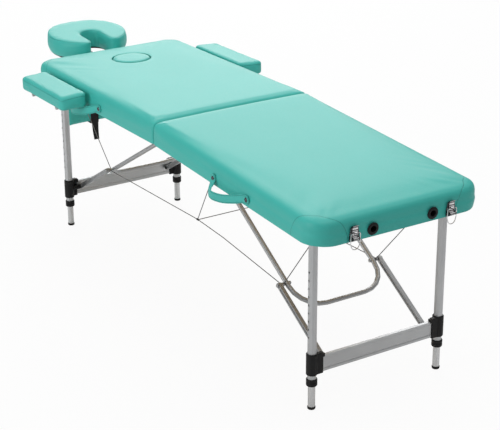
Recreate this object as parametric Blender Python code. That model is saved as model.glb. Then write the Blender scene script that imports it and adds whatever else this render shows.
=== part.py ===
"""Two-section folding massage table with headrest, armrests and hand pallet.

X runs along the table, with the foot end at +X. The floor is z = 0. Each half is built level in
its own frame, which tilts with the half about the middle hinge: u runs outward from the hinge,
z runs up from the lower edge of the rails.
"""
import bpy
import bmesh
from math import atan2
from math import cos
from math import degrees
from math import pi
from math import radians
from math import sin
from math import sqrt
from math import tan
from mathutils import Matrix
from mathutils import Vector

GAP = 0.0003                     # between pieces that touch
SIDES = {"head": -1, "foot": 1}  # sign of X on each half
NEAR_FAR = {"near": -1, "far": 1}

# Bed
HALF_LENGTH = 0.930
HALF_WIDTH = 0.300
END_CORNER = 0.068               # plan radius of the outer corners
MIDDLE_CORNER = 0.012
SKIRT_BOTTOM = 0.0015
CUSHION_SIDE_TOP = 0.048         # where the side turns over into the top
CUSHION_TOP = 0.0785
CROWN = 0.003
DRAW_IN = 0.004                  # how far the covered sides pull in between the corners
HINGE_X = 0.1524                 # so that the whole table is centred on X = 0
PEAK = radians(1.7)              # the halves stand this far short of level, foam against foam
HINGE_HEIGHT = 0.590
SKIRT = 0.0062

# Wooden frame
RAIL_BOTTOM = 0.002
RAIL_TOP = 0.046
RAIL_WIDTH = 0.0187
RAIL_MIDDLE = 0.0035             # face of the middle rail, from the hinge axis
DECK_THICKNESS = 0.004
RAIL_END = HALF_LENGTH - SKIRT - GAP
RAIL_SIDE = HALF_WIDTH - SKIRT - GAP
DECK_TOP = RAIL_TOP + GAP + DECK_THICKNESS

# Face hole
PLUG_U = 0.720
PLUG_RADIUS = 0.0722
DECK_HOLE_RADIUS = 0.066

# Sockets
SOCKET_Y = 0.1055
SOCKET_Z = 0.026
SOCKET_BORE = 0.010
SOCKET_BARREL = 0.013
SOCKET_FLANGE = 0.019
ARM_ROD_U = (0.521, 0.717)
ARM_ROD_Z = 0.0125
ARM_ROD_RADIUS = 0.006

# Leg frames and braces
LEG_U = 0.824
LEG_Y = 0.233
LEG_PIVOT_Z = 0.020
OUTER_TUBE = 0.014
OUTER_BORE = 0.0127
INNER_TUBE = 0.011
INNER_BORE = 0.0095
HOLE_PITCH = 0.026
HOLES_ABOVE = 2                  # adjusting holes above the button and below it
HOLES_BELOW = 6
BUTTON_HEIGHT = 0.394
BRACKET_HEIGHTS = (0.115, 0.184)
COLLAR_HEIGHTS = (0.0785, 0.1015)
CROSSBAR_HEIGHTS = (0.120, 0.173)
CROSSBAR_HALF = 0.2115
STRUT_PIVOT_DROP = 0.4345        # below the leg pivot
STRUT_PIVOT_INSET = 0.009        # inward of the leg axis
BRACE_PIVOT_REACH = 0.788        # from the leg pivot towards the middle
BRACE_PIVOT_Z = 0.0247
BRACE_Y = 0.1605
BRACE_TUBE = 0.0078
BRACE_LENGTH = 0.7303
BRACE_BEND = 0.090
STRUT_WIDTH = 0.0165
STRUT_INNER_Y = 0.1812
STRUT_OUTER_Y = 0.1927
PIN_RADIUS = 0.003
PIN_HOLE = 0.0034
TRUNNION = 0.004                 # pivot pins of the legs and braces
BLOCK_Y = (0.1720, 0.1910)       # wooden blocks at the brace pivots
HINGE_HALF_LENGTH = 0.280

# Wire ropes
WIRE_RADIUS = 0.0014
JUNCTION = Vector((0.0, 0.141, 0.293))
LONG_WIRE_Y = 0.1785             # along the bolt of the brace joint
END_WIRE_Y = 0.1730
ANCHOR_Y = 0.1945                # end of the wire on the leg's pivot pin

# Latches and handles
LATCH_Y = 0.1703
LEVER_PIVOT = (0.9425, 0.014)
BAIL_PIVOT = (0.9397, 0.030)
HANDLE_U = 0.482
HANDLE_HALF_SPAN = 0.095
HANDLE_Z = 0.024
HANDLE_WIDTH = 0.027
HANDLE_THICKNESS = 0.003

# Headrest, armrests and hand pallet
ROD_RADIUS = 0.0095
ROD_ENDS = (0.838, 1.165)
CROSS_ROD_U = 1.060
CROSS_ROD_RADIUS = 0.005
HEADREST_CENTRE = 1.094          # u of the round rim
HEADREST_RADIUS = 0.156
HEADREST_TIP = 0.020             # plan radius of the two tips
NOTCH_CENTRE = 1.060             # u of the round end of the face opening
NOTCH_HALF = 0.040
HEADREST_Z = (0.0434, 0.114)
PLATFORM_Z = (0.0345, 0.0430)
ARM_U = (0.462, 0.804)
ARM_Y = (0.307, 0.412)
ARM_Z = (0.0135, 0.0645)
ARM_STRIP_Z = (0.0160, 0.0192)   # strip between the rods of an armrest
PALLET_X = (-0.026, 0.026)       # from the cross rod
PALLET_HALF_WIDTH = 0.138
PALLET_Z = (-0.2726, -0.1426)
STRAP_Y = -0.014
STRAP_WIDTH = 0.033
STRAP_THICKNESS = 0.002
TAIL_LENGTH = 0.070


def fresh_collection(name):
    """Give a new collection of the scene."""
    made = bpy.data.collections.new(name)
    bpy.context.scene.collection.children.link(made)
    return made


for old in list(bpy.data.objects):
    bpy.data.objects.remove(old)
TABLE = fresh_collection("massage_table")
SCRATCH = fresh_collection("cutters")


def finish(name, colour, roughness, metallic=0.0):
    """Make a Principled material."""
    made = bpy.data.materials.new(name)
    made.use_nodes = True
    shader = made.node_tree.nodes["Principled BSDF"]
    shader.inputs["Base Color"].default_value = (*colour, 1.0)
    shader.inputs["Roughness"].default_value = roughness
    shader.inputs["Metallic"].default_value = metallic
    return made


VINYL = finish("mint_vinyl", (0.30, 0.68, 0.62), 0.45)
WOOD = finish("birch_wood", (0.62, 0.47, 0.30), 0.6)
ALUMINIUM = finish("satin_aluminium", (0.62, 0.63, 0.64), 0.35, 1.0)
BLACK = finish("black_plastic", (0.02, 0.02, 0.02), 0.5)
RUBBER = finish("black_rubber", (0.015, 0.015, 0.015), 0.8)
CHROME = finish("chrome_plate", (0.80, 0.80, 0.82), 0.12, 1.0)
STEEL = finish("steel_wire", (0.45, 0.45, 0.46), 0.4, 1.0)
WEBBING = finish("black_webbing", (0.02, 0.02, 0.02), 0.85)


# Shapes. Each gives a bmesh with one closed body.
def closed(shape):
    """Merge doubles and turn the faces outward."""
    bmesh.ops.remove_doubles(shape, verts=shape.verts, dist=1e-6)
    bmesh.ops.recalc_face_normals(shape, faces=shape.faces)
    return shape


def box(low, high, bevel=0.0):
    """Box between two corners, with round edges if bevel is set."""
    shape = bmesh.new()
    bmesh.ops.create_cube(shape, size=1.0)
    low, high = [Vector(map(pick, low, high)) for pick in (min, max)]
    place = Matrix.Translation((low + high) / 2) @ Matrix.Diagonal((*(high - low), 1.0))
    bmesh.ops.transform(shape, matrix=place, verts=shape.verts)
    if bevel:
        bmesh.ops.bevel(shape, geom=shape.edges[:], offset=bevel, segments=1, profile=0.5,
                        affect="EDGES")
    return closed(shape)


def along(start, end):
    """Matrix that takes the Z axis from the origin to the line from start to end."""
    start, end = Vector(start), Vector(end)
    turn = Vector((0, 0, 1)).rotation_difference((end - start).normalized())
    return Matrix.Translation(start) @ turn.to_matrix().to_4x4()


def rod(start, end, radius, sides=12):
    """Solid round bar."""
    shape = bmesh.new()
    length = (Vector(end) - Vector(start)).length
    bmesh.ops.create_cone(shape, cap_ends=True, segments=sides, radius1=radius, radius2=radius,
                          depth=length)
    place = along(start, end) @ Matrix.Translation((0, 0, length / 2))
    bmesh.ops.transform(shape, matrix=place, verts=shape.verts)
    return closed(shape)


def turned(profile, place, sides=16):
    """Turn a profile of (radius, height) pairs about Z; a profile off the axis is a ring."""
    shape = bmesh.new()
    points = [shape.verts.new((radius, 0, height)) for radius, height in profile]
    edges = [shape.edges.new(pair) for pair in zip(points, points[1:])]
    if profile[0][0] > 0:
        edges.append(shape.edges.new((points[-1], points[0])))
    bmesh.ops.spin(shape, geom=points + edges, cent=(0, 0, 0), axis=(0, 0, 1), angle=2 * pi,
                   steps=sides, use_merge=True)
    bmesh.ops.transform(shape, matrix=place, verts=shape.verts)
    return closed(shape)


def pipe(start, end, radius, bore, sides=16):
    """Round tube with an open bore."""
    length = (Vector(end) - Vector(start)).length
    return turned([(radius, length), (radius, 0), (bore, 0), (bore, length)], along(start, end), sides)


def prism(outline, axis, low, high):
    """Extrude a closed outline along one axis; its points give the other two coordinates in order."""
    shape = bmesh.new()
    corners = []
    for first, second in outline:
        point = [first, second]
        point.insert(axis, low)
        corners.append(shape.verts.new(point))
    face = shape.faces.new(corners)
    pushed = bmesh.ops.extrude_face_region(shape, geom=[face])["geom"]
    shift = Vector((0, 0, 0))
    shift[axis] = high - low
    moved = [item for item in pushed if isinstance(item, bmesh.types.BMVert)]
    bmesh.ops.translate(shape, vec=shift, verts=moved)
    return closed(shape)


def loft(rings, cap=True):
    """Skin between rings of equally many points, with flat ends, or closed into a loop."""
    shape = bmesh.new()
    rows = [[shape.verts.new(point) for point in ring] for ring in rings]
    count = len(rows[0])
    spans = list(zip(rows, rows[1:]))
    if not cap:
        spans.append((rows[-1], rows[0]))
    for lower, upper in spans:
        for index in range(count):
            after = (index + 1) % count
            shape.faces.new((lower[index], lower[after], upper[after], upper[index]))
    if cap:
        shape.faces.new(rows[0][::-1])
        shape.faces.new(rows[-1])
    return closed(shape)


def bent_tube(points, radius, resolution, loop=False):
    """Tube along a line of points."""
    data = bpy.data.curves.new("path", "CURVE")
    data.dimensions = "3D"
    spline = data.splines.new("POLY")
    spline.points.add(len(points) - 1)
    for slot, point in zip(spline.points, points):
        slot.co = (*point, 1.0)
    spline.use_cyclic_u = loop
    data.bevel_depth = radius
    data.bevel_resolution = resolution
    data.use_fill_caps = True
    holder = bpy.data.objects.new("path", data)
    SCRATCH.objects.link(holder)
    skin = evaluated(holder)
    shape = bmesh.new()
    shape.from_mesh(skin)
    bpy.data.meshes.remove(skin)
    bpy.data.objects.remove(holder)
    return closed(shape)


def evaluated(holder):
    """Mesh of an object with its modifiers."""
    graph = bpy.context.evaluated_depsgraph_get()
    return bpy.data.meshes.new_from_object(holder.evaluated_get(graph))


def as_object(shape, name="scratch"):
    """Object that holds a shape, among the cutters."""
    mesh = bpy.data.meshes.new(name)
    shape.to_mesh(mesh)
    shape.free()
    holder = bpy.data.objects.new(name, mesh)
    SCRATCH.objects.link(holder)
    return holder


def boolean(body, tool, operation):
    """Join a body with a tool, or cut it, and give the result."""
    target = as_object(body)
    cutter = as_object(tool)
    step = target.modifiers.new("boolean", "BOOLEAN")
    step.operation = operation
    step.solver = "EXACT"
    step.object = cutter
    skin = evaluated(target)
    shape = bmesh.new()
    shape.from_mesh(skin)
    bpy.data.meshes.remove(skin)
    for holder in (target, cutter):
        bpy.data.objects.remove(holder)
    return closed(shape)


def group(shapes):
    """Put several cutters into one bmesh."""
    whole = bmesh.new()
    for shape in shapes:
        mesh = bpy.data.meshes.new("body")
        shape.to_mesh(mesh)
        shape.free()
        whole.from_mesh(mesh)
        bpy.data.meshes.remove(mesh)
    return whole


def cut(body, tools):
    """Cut tools that lie clear of each other out of a body."""
    return boolean(body, group(tools), "DIFFERENCE")


def fuse(shapes):
    """Join overlapping shapes into one body."""
    body = shapes[0]
    for shape in shapes[1:]:
        body = boolean(body, shape, "UNION")
    return body


def frame(name, place, parent=None, turn=0.0):
    """Empty that carries pieces; turn is about Y."""
    made = bpy.data.objects.new(name, None)
    made.empty_display_size = 0.03
    made.location = place
    made.rotation_euler = (0, turn, 0)
    made.parent = parent
    TABLE.objects.link(made)
    return made


def node(name, shape, surface, parent):
    """Make one sub-part from its body."""
    mesh = bpy.data.meshes.new(name)
    shape.to_mesh(mesh)
    shape.free()
    mesh.materials.append(surface)
    mesh.shade_smooth()
    mesh.set_sharp_from_angle(angle=radians(35))
    made = bpy.data.objects.new(name, mesh)
    made.parent = parent
    TABLE.objects.link(made)
    return made


# Outlines
def arc(centre, radius, start, end, steps):
    """Points on an arc; the angles are in degrees."""
    angles = [radians(start + (end - start) * step / steps) for step in range(steps + 1)]
    return [(centre[0] + radius * cos(angle), centre[1] + radius * sin(angle)) for angle in angles]


def slab_outline(low, high, corners, steps, draw=0.0):
    """Rounded rectangle from low to high, with its sides drawn in between the corners.

    corners are the radii at the low and the high end of the first axis, and steps the
    divisions of those corners, of the long sides and of the ends.
    """
    (u0, y0), (u1, y1) = low, high
    near, far = corners
    near_steps, far_steps, long_steps, end_steps = steps

    def run(start, end, count, inward):
        points = []
        for step in range(1, count):
            part = step / count
            pull = draw * sin(pi * part)
            points.append((start[0] + (end[0] - start[0]) * part + inward[0] * pull,
                           start[1] + (end[1] - start[1]) * part + inward[1] * pull))
        return points

    bends = [arc((u0 + near, y0 + near), near, 180, 270, near_steps),
             arc((u1 - far, y0 + far), far, 270, 360, far_steps),
             arc((u1 - far, y1 - far), far, 0, 90, far_steps),
             arc((u0 + near, y1 - near), near, 90, 180, near_steps)]
    inward = [(0, 1), (-1, 0), (0, -1), (0, 0)]
    counts = [long_steps, end_steps, long_steps, end_steps]
    outline = []
    for index, bend in enumerate(bends):
        outline += bend
        outline += run(bend[-1], bends[(index + 1) % 4][0], counts[index], inward[index])
    return outline


def rail_outline(grow):
    """Outer edge of the wooden frame, grown by a gap."""
    return slab_outline((RAIL_MIDDLE - grow, -RAIL_SIDE - grow), (RAIL_END + grow, RAIL_SIDE + grow),
                        (0.002, END_CORNER - SKIRT), (1, 8, 1, 1))


def facing(outline, side):
    """Outline with u turned into X on one half."""
    return [(side * u, y) for u, y in outline]


# Pieces of one half
def bed_cushion(side):
    """Foam and cover of one half: rings from the lower edge over the side to the crowned top."""
    turn_over = [(0.0, SKIRT_BOTTOM), (-0.0004, 0.014), (-0.0008, 0.030), (0.0, CUSHION_SIDE_TOP),
                 (0.004, 0.0620), (0.0115, 0.0710), (0.0240, 0.0762), (0.0420, CUSHION_TOP)]
    crown = [(0.11, CUSHION_TOP + 0.6 * CROWN), (0.19, CUSHION_TOP + CROWN)]
    rings = []
    for inset, z in turn_over + crown:
        middle = GAP - z * tan(PEAK) + 0.35 * max(inset, 0.0)
        corner = max(END_CORNER - inset, 0.02)
        low = (middle, -HALF_WIDTH + inset)
        high = (HALF_LENGTH - inset, HALF_WIDTH - inset)
        outline = slab_outline(low, high, (MIDDLE_CORNER, corner), (3, 8, 8, 6), DRAW_IN)
        rings.append([(side * u, y, z) for u, y in outline])
    hollow = prism(facing(rail_outline(GAP), side), 2, -0.01, DECK_TOP + GAP)
    width = RAIL_SIDE + GAP
    mouth = box((side * -0.02, -width, -0.01), (side * 0.02, width, RAIL_TOP + 0.0016))
    return cut(cut(cut(loft(rings), [hollow]), [mouth]), drills(side))


def drills(side):
    """Holes through the cover and the rails for the accessory rods and the handle screws."""
    end_bore = SOCKET_BORE if side < 0 else SOCKET_BARREL + GAP
    tools = []
    for y in NEAR_FAR.values():
        ends = [(side * u, y * SOCKET_Y, SOCKET_Z) for u in (0.86, 0.96)]
        tools.append(rod(*ends, end_bore, 16))
    for offset in (-HANDLE_HALF_SPAN, HANDLE_HALF_SPAN):
        x = side * (HANDLE_U + offset)
        tools.append(rod((x, -0.24, HANDLE_Z), (x, -0.32, HANDLE_Z), 0.0029, 6))
    if side < 0:
        for u in ARM_ROD_U:
            for y in NEAR_FAR.values():
                start = (side * u, y * 0.26, ARM_ROD_Z)
                tools.append(rod(start, (side * u, y * 0.32, ARM_ROD_Z), ARM_ROD_RADIUS + 0.0006, 10))
    return tools


def face_hole(side, radius):
    """Cutter for the round hole under the face."""
    return rod((side * PLUG_U, 0, 0.04), (side * PLUG_U, 0, 0.12), radius, 28)


def wooden_frame(side):
    """Side rails, end rail, middle rail and plywood deck, glued, with blocks for the brace pivots."""
    outer = prism(facing(rail_outline(0.0), side), 2, RAIL_BOTTOM, DECK_TOP)
    inner = box((side * (RAIL_MIDDLE + RAIL_WIDTH), -RAIL_SIDE + RAIL_WIDTH, -0.01),
                (side * (RAIL_END - RAIL_WIDTH), RAIL_SIDE - RAIL_WIDTH, RAIL_TOP))
    body = cut(outer, [inner])
    bores = []
    for y in NEAR_FAR.values():
        u = BRACE_PIVOT.x
        block = box((side * 0.012, y * BLOCK_Y[0], 0.010),
                    (side * (u + 0.014), y * BLOCK_Y[1], RAIL_TOP + 0.001))
        body = fuse([body, block])
        for x, z, reach in ((u, BRACE_PIVOT_Z, (0.165, 0.20)), (LEG_U, LEG_PIVOT_Z, (0.26, 0.289))):
            ends = [(side * x, y * width, z) for width in reach]
            bores.append(rod(*ends, TRUNNION + 0.0007, 8))
    return cut(cut(body, bores), drills(side))


def socket(side, y):
    """Flanged sleeve in the end for an accessory rod."""
    face = HALF_LENGTH + 0.0015
    profile = [(SOCKET_BORE, 0.0030), (0.0150, 0.0030), (SOCKET_FLANGE, 0.0014), (SOCKET_FLANGE, 0.0),
               (SOCKET_BARREL, 0.0), (SOCKET_BARREL, -0.032), (SOCKET_BORE, -0.032)]
    start = (side * face, y * SOCKET_Y, SOCKET_Z)
    return turned(profile, along(start, (side * (face + 1), y * SOCKET_Y, SOCKET_Z)), 18)


def hinge_leaf(side):
    """Leaf of the long hinge on the middle rail; the head leaf carries the pin."""
    count = 5
    pitch = 2 * HINGE_HALF_LENGTH / count
    leaf = box((side * 0.0015, -HINGE_HALF_LENGTH, 0.0006), (side * 0.0029, HINGE_HALF_LENGTH, 0.036))
    own, other = [], []
    for index in range(count):
        low = -HINGE_HALF_LENGTH + index * pitch
        (own if (index % 2 == 0) == (side < 0) else other).append((low, low + pitch))
    leaf = cut(leaf, [box((-0.006, low - GAP, -0.006), (0.006, high + GAP, 0.0042)) for low, high in other])
    for low, high in own:
        leaf = fuse([leaf, rod((0, low + GAP, 0), (0, high - GAP, 0), 0.0032, 8)])
    if side < 0:
        return fuse([leaf, rod((0, -HINGE_HALF_LENGTH, 0), (0, HINGE_HALF_LENGTH, 0), 0.0015, 6)])
    return cut(leaf, [rod((0, -0.5, 0), (0, 0.5, 0), 0.0021, 6)])


def eased(points, steps):
    """Smooth line through points, with so many steps between two of them."""
    rows = [Vector(point) for point in points]
    rows = [2 * rows[0] - rows[1]] + rows + [2 * rows[-1] - rows[-2]]
    line = []
    for before, start, end, after in zip(rows, rows[1:], rows[2:], rows[3:]):
        for step in range(steps):
            t = step / steps
            bend = 2 * before - 5 * start + 4 * end - after
            twist = 3 * start - before - 3 * end + after
            line.append(0.5 * (2 * start + t * (end - before) + t ** 2 * bend + t ** 3 * twist))
    return line + [rows[-2]]


def handle(side):
    """Carrying strap screwed to the near side; it drops steeply from its first end."""
    span = 2 * HANDLE_HALF_SPAN
    route = [(-0.002, 0.0, 0.013), (0.0, 0.0, 0.0), (0.005, 0.008, -0.015), (0.014, 0.020, -0.028),
             (0.034, 0.028, -0.036), (0.085, 0.023, -0.030), (0.135, 0.012, -0.016),
             (span - 0.022, 0.003, -0.004), (span, 0.0, 0.0), (span + 0.013, 0.0, 0.003)]
    line = []
    for along_x, out, rise in eased(route, 2):
        x = side * HANDLE_U - HANDLE_HALF_SPAN + along_x
        line.append(Vector((x, -HALF_WIDTH - 0.0026 - max(out, 0.0), HANDLE_Z + rise)))
    rings = []
    for index, centre in enumerate(line):
        tangent = (line[min(index + 1, len(line) - 1)] - line[max(index - 1, 0)]).normalized()
        across = tangent.cross(Vector((0, 1, 0))).normalized() * HANDLE_WIDTH / 2
        thick = tangent.cross(across).normalized() * HANDLE_THICKNESS / 2
        rings.append([centre - across - thick, centre + across - thick, centre + across + thick,
                      centre - across + thick])
    screws = [handle_screw(side, offset) for offset in (-HANDLE_HALF_SPAN, HANDLE_HALF_SPAN)]
    return fuse([loft(rings)] + screws)


def handle_screw(side, offset):
    """Screw with a cup washer at one end of the strap."""
    start = (side * (HANDLE_U + offset), -HALF_WIDTH - 0.0040, HANDLE_Z)
    profile = [(0, 0.0040), (0.0045, 0.0030), (0.0085, 0.0012), (0.0085, -0.0005), (0.0024, -0.0005),
               (0.0024, -0.022), (0, -0.022)]
    return turned(profile, along(start, (start[0], -1, HANDLE_Z)), 10)


def strike(side, y):
    """Hook on the head end that a latch bail catches."""
    centre = y * LATCH_Y
    plate = box((side * 0.9318, centre - 0.012, 0.004), (side * 0.9336, centre + 0.012, 0.036))
    nose = box((side * 0.9330, centre - 0.008, 0.008), (side * 0.9440, centre + 0.008, 0.0125))
    lip = box((side * 0.9416, centre - 0.0079, 0.0100), (side * 0.9439, centre + 0.0079, 0.0175))
    return fuse([plate, nose, lip])


def latch_base(y):
    """Latch plate with two ears for the lever."""
    pivot_u, pivot_z = LEVER_PIVOT
    edge = [(0.013, 0.003), (0.0165, 0.0065), (0.0165, 0.026), (0.0125, 0.045), (0.008, 0.050)]
    edge += [(-across, z) for across, z in edge[::-1]]
    plate = prism([(y + across, z) for across, z in edge], 0, 0.9318, 0.9336)
    ears = []
    for offset in (-0.0107, 0.0107):
        outline = [(0.9326, 0.007), (pivot_u, 0.0095)] + arc((pivot_u, pivot_z), 0.0045, -90, 90, 4)[1:]
        outline += [(0.9326, 0.0235)]
        ears.append(prism([(u, z) for u, z in outline], 1, y + offset - 0.0011, y + offset + 0.0011))
    body = fuse([plate] + ears)
    return cut(body, [rod((pivot_u, y - 0.03, pivot_z), (pivot_u, y + 0.03, pivot_z), 0.0022, 8)])


def latch_lever():
    """Lever with its pin, in coordinates from the pin, and the lug that holds the bail."""
    pivot_u, pivot_z = LEVER_PIVOT
    bail_u = BAIL_PIVOT[0] - pivot_u
    bail_z = BAIL_PIVOT[1] - pivot_z
    half = 0.009
    outline = [(-0.0078, 0.002), (-0.0078, 0.032), (-0.0060, 0.0365), (-0.0020, 0.0395), (-0.0012, 0.0380),
               (-0.0047, 0.0352), (-0.0060, 0.0318), (-0.0060, 0.0035), (0.0, 0.0025), (0.0, -0.0025)]
    plate = prism(outline, 1, -half, half)
    pin = rod((0, -0.0125, 0), (0, 0.0125, 0), 0.0018, 8)
    knuckle = rod((0, -half + 0.0002, 0), (0, half - 0.0002, 0), 0.0034, 10)
    eye = arc((bail_u, bail_z), 0.0032, -90, 90, 4)
    lug = prism([(-0.0065, bail_z - 0.0032)] + eye + [(-0.0065, bail_z + 0.0032)], 1, -0.005, 0.005)
    body = fuse([plate, knuckle, pin, lug])
    return cut(body, [rod((bail_u, -0.02, bail_z), (bail_u, 0.02, bail_z), 0.0018, 8)])


def latch_bail():
    """Closed wire ring, in coordinates from its top bar."""
    half = 0.0160
    path = [(0, 0), (half - 0.003, 0), (half, -0.003), (half, -0.030), (half - 0.003, -0.041),
            (half - 0.008, -0.0480), (0, -0.0500)]
    path += [(-y, z) for y, z in path[-2:0:-1]]
    return bent_tube([(0, y, z) for y, z in path], 0.0014, 1, loop=True)


def face_plug(side):
    """Padded disc that closes the face hole."""
    top = CUSHION_TOP + 0.5 * CROWN
    low = DECK_TOP + 2 * GAP
    profile = [(0, top + 0.0012), (0.030, top + 0.0009), (0.055, top - 0.0003), (0.066, top - 0.0022),
               (0.0708, top - 0.0055), (PLUG_RADIUS, top - 0.0110), (PLUG_RADIUS - 0.001, low + 0.008),
               (PLUG_RADIUS - 0.002, low), (0, low)]
    return turned(profile, Matrix.Translation((side * PLUG_U, 0, 0)), 28)


# Legs, in coordinates from the leg pivot
PIVOT_HEIGHT = HINGE_HEIGHT - LEG_U * sin(PEAK) + LEG_PIVOT_Z * cos(PEAK)


def level(height):
    """Height above the floor as z from the leg pivot."""
    return height - PIVOT_HEIGHT


def outer_leg(y):
    """Outer tube with its adjusting holes on the outer side and the pivot pin through its top."""
    centre = y * LEG_Y
    tube = pipe((0, centre, level(0.0905)), (0, centre, 0.013), OUTER_TUBE, OUTER_BORE, 10)
    holes = []
    for count in range(-HOLES_BELOW, HOLES_ABOVE + 1):
        z = level(BUTTON_HEIGHT + count * HOLE_PITCH)
        holes.append(rod((0, centre, z), (0, centre + y * 0.03, z), 0.0037, 6))
    pin = rod((0, y * 0.1905, 0), (0, y * 0.2880, 0), TRUNNION, 8)
    return fuse([cut(tube, holes), pin])


def crossbar(side):
    """Flat extrusion between the leg brackets."""
    low, high = [level(height) for height in CROSSBAR_HEIGHTS]
    middle = (low + high) / 2
    outline = [(0.0012, low), (0.0108, low), (0.0108, low + 0.008), (0.0098, low + 0.010),
               (0.0098, high - 0.010), (0.0108, high - 0.008), (0.0108, high), (0.0012, high),
               (0.0012, middle + 0.016), (0.0022, middle + 0.014), (0.0022, middle - 0.014),
               (0.0012, middle - 0.016)]
    return prism([(side * x, z) for x, z in outline], 1, -CROSSBAR_HALF, CROSSBAR_HALF)


def leg_bracket(side, y):
    """Moulded corner: sleeve on the tube, pocket for the crossbar and headed stud for the strut."""
    centre = y * LEG_Y
    low, high = [level(height) for height in BRACKET_HEIGHTS]
    profile = [(0, high), (0.0162, high), (0.0178, high - 0.002), (0.0178, low + 0.002),
               (0.0162, low), (0, low)]
    sleeve = turned(profile, Matrix.Translation((0, centre, 0)), 16)
    arm = box((side * -0.0015, y * 0.2005, low + 0.0005), (side * 0.0135, y * 0.226, high - 0.0015), 0.0015)
    lug = box((side * -0.0013, y * 0.1950, high - 0.016), (side * 0.0133, y * 0.209, high - 0.004), 0.0010)
    x, z = side * -STRUT_PIVOT_INSET, -STRUT_PIVOT_DROP
    boss = rod((x, y * (STRUT_OUTER_Y + 2 * GAP), z), (x, y * 0.226, z), 0.008, 12)
    stud = rod((x, y * (STRUT_INNER_Y - 0.001), z), (x, y * 0.224, z), PIN_RADIUS, 8)
    head = rod((x, y * (STRUT_INNER_Y - 0.0030), z), (x, y * (STRUT_INNER_Y - GAP), z), 0.006, 8)
    body = fuse([sleeve, arm, lug, boss, stud, head])
    bar_low, bar_high = [level(height) for height in CROSSBAR_HEIGHTS]
    pocket = box((side * (0.0012 - GAP), y * 0.160, bar_low - GAP),
                 (side * (0.0108 + GAP), y * (CROSSBAR_HALF + GAP), bar_high + GAP))
    bore = rod((0, centre, low - 0.02), (0, centre, high + 0.02), OUTER_TUBE + 2 * GAP, 16)
    return cut(cut(body, [bore]), [pocket])


def collar(y):
    """Ribbed end collar that guides the inner tube."""
    low, high = [level(height) for height in COLLAR_HEIGHTS]
    ridge, groove = 0.0170, 0.0155
    bore = OUTER_TUBE + 2 * GAP
    profile = [(bore, high), (groove, high)]
    for top in (high - 0.0015, high - 0.0125):
        profile += [(ridge, top), (ridge, top - 0.0085), (groove, top - 0.0095)]
    profile += [(groove, low), (INNER_TUBE + GAP, low), (INNER_TUBE + GAP, level(0.090)),
                (bore, level(0.090))]
    return turned(profile, Matrix.Translation((0, y * LEG_Y, 0)), 14)


def inner_leg(y):
    """Inner tube with one hole for its snap button."""
    centre = y * LEG_Y
    tube = pipe((0, centre, level(0.0040)), (0, centre, level(0.420)), INNER_TUBE, INNER_BORE, 14)
    z = level(BUTTON_HEIGHT)
    return cut(tube, [rod((0, centre, z), (0, centre + y * 0.03, z), 0.0036, 6)])


def rubber_foot(y):
    """Rubber cup under the inner tube."""
    inside = INNER_TUBE + GAP
    profile = [(0, 0.0036), (inside, 0.0036), (inside, 0.0085), (0.0121, 0.0085), (0.0124, 0.0075),
               (0.0124, 0.0020), (0.0112, 0.0), (0, 0.0)]
    return turned(profile, Matrix.Translation((0, y * LEG_Y, level(0.0))), 14)


def snap_button(y):
    """Button with the bent spring clip that holds it inside the inner tube."""
    centre = y * LEG_Y
    z = level(BUTTON_HEIGHT)
    start = (0, centre + y * 0.0065, z)
    button = turned([(0, 0.0110), (0.0016, 0.0106), (0.0029, 0.0090), (0.0029, 0.0002), (0, 0.0002)],
                    along(start, (0, start[1] + y, z)), 10)
    outline = [(0.0068, 0.008), (0.0068, -0.030), (0.003, -0.036), (-0.003, -0.036), (-0.0035, -0.006),
               (-0.0027, -0.006), (-0.0023, -0.0352), (0.0026, -0.0352), (0.0060, -0.0297), (0.0060, 0.008)]
    clip = prism([(centre + y * across, z + up) for across, up in outline], 0, -0.003, 0.003)
    return fuse([clip, button])


# Brace linkage of one half, level in the half's frame with u outward
LEG_PIVOT = Vector((LEG_U, LEG_PIVOT_Z))
BRACE_PIVOT = Vector((LEG_U - BRACE_PIVOT_REACH, BRACE_PIVOT_Z))


def turned_by(vector, angle):
    """Turn a (u, z) vector anticlockwise."""
    return Matrix.Rotation(angle, 2) @ vector


STRUT_ARM = Vector((-STRUT_PIVOT_INSET, -STRUT_PIVOT_DROP))
STRUT_OPEN = LEG_PIVOT + turned_by(STRUT_ARM, PEAK)
STRUT_FOLDED = LEG_PIVOT + turned_by(STRUT_ARM, -pi / 2)
OPEN_REACH = STRUT_OPEN - BRACE_PIVOT
FOLDED_REACH = STRUT_FOLDED - BRACE_PIVOT
ARM_LENGTH = (OPEN_REACH.length + FOLDED_REACH.length) / 2     # brace pivot to joint
STRUT_LENGTH = (OPEN_REACH.length - FOLDED_REACH.length) / 2   # joint to leg bracket
BRACE_ANGLE = atan2(OPEN_REACH.y, OPEN_REACH.x)
JOINT = BRACE_PIVOT + OPEN_REACH.normalized() * ARM_LENGTH
# Angles through which the pieces turn as the legs fold in
LEG_FOLD = pi / 2 + PEAK
BRACE_FOLD = atan2(FOLDED_REACH.y, FOLDED_REACH.x) - BRACE_ANGLE
STRUT_START = turned_by(-OPEN_REACH, -PEAK)
STRUT_END = turned_by(FOLDED_REACH, pi / 2)
STRUT_FOLD = atan2(STRUT_START.y, STRUT_START.x) - atan2(STRUT_END.y, STRUT_END.x)


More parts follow.
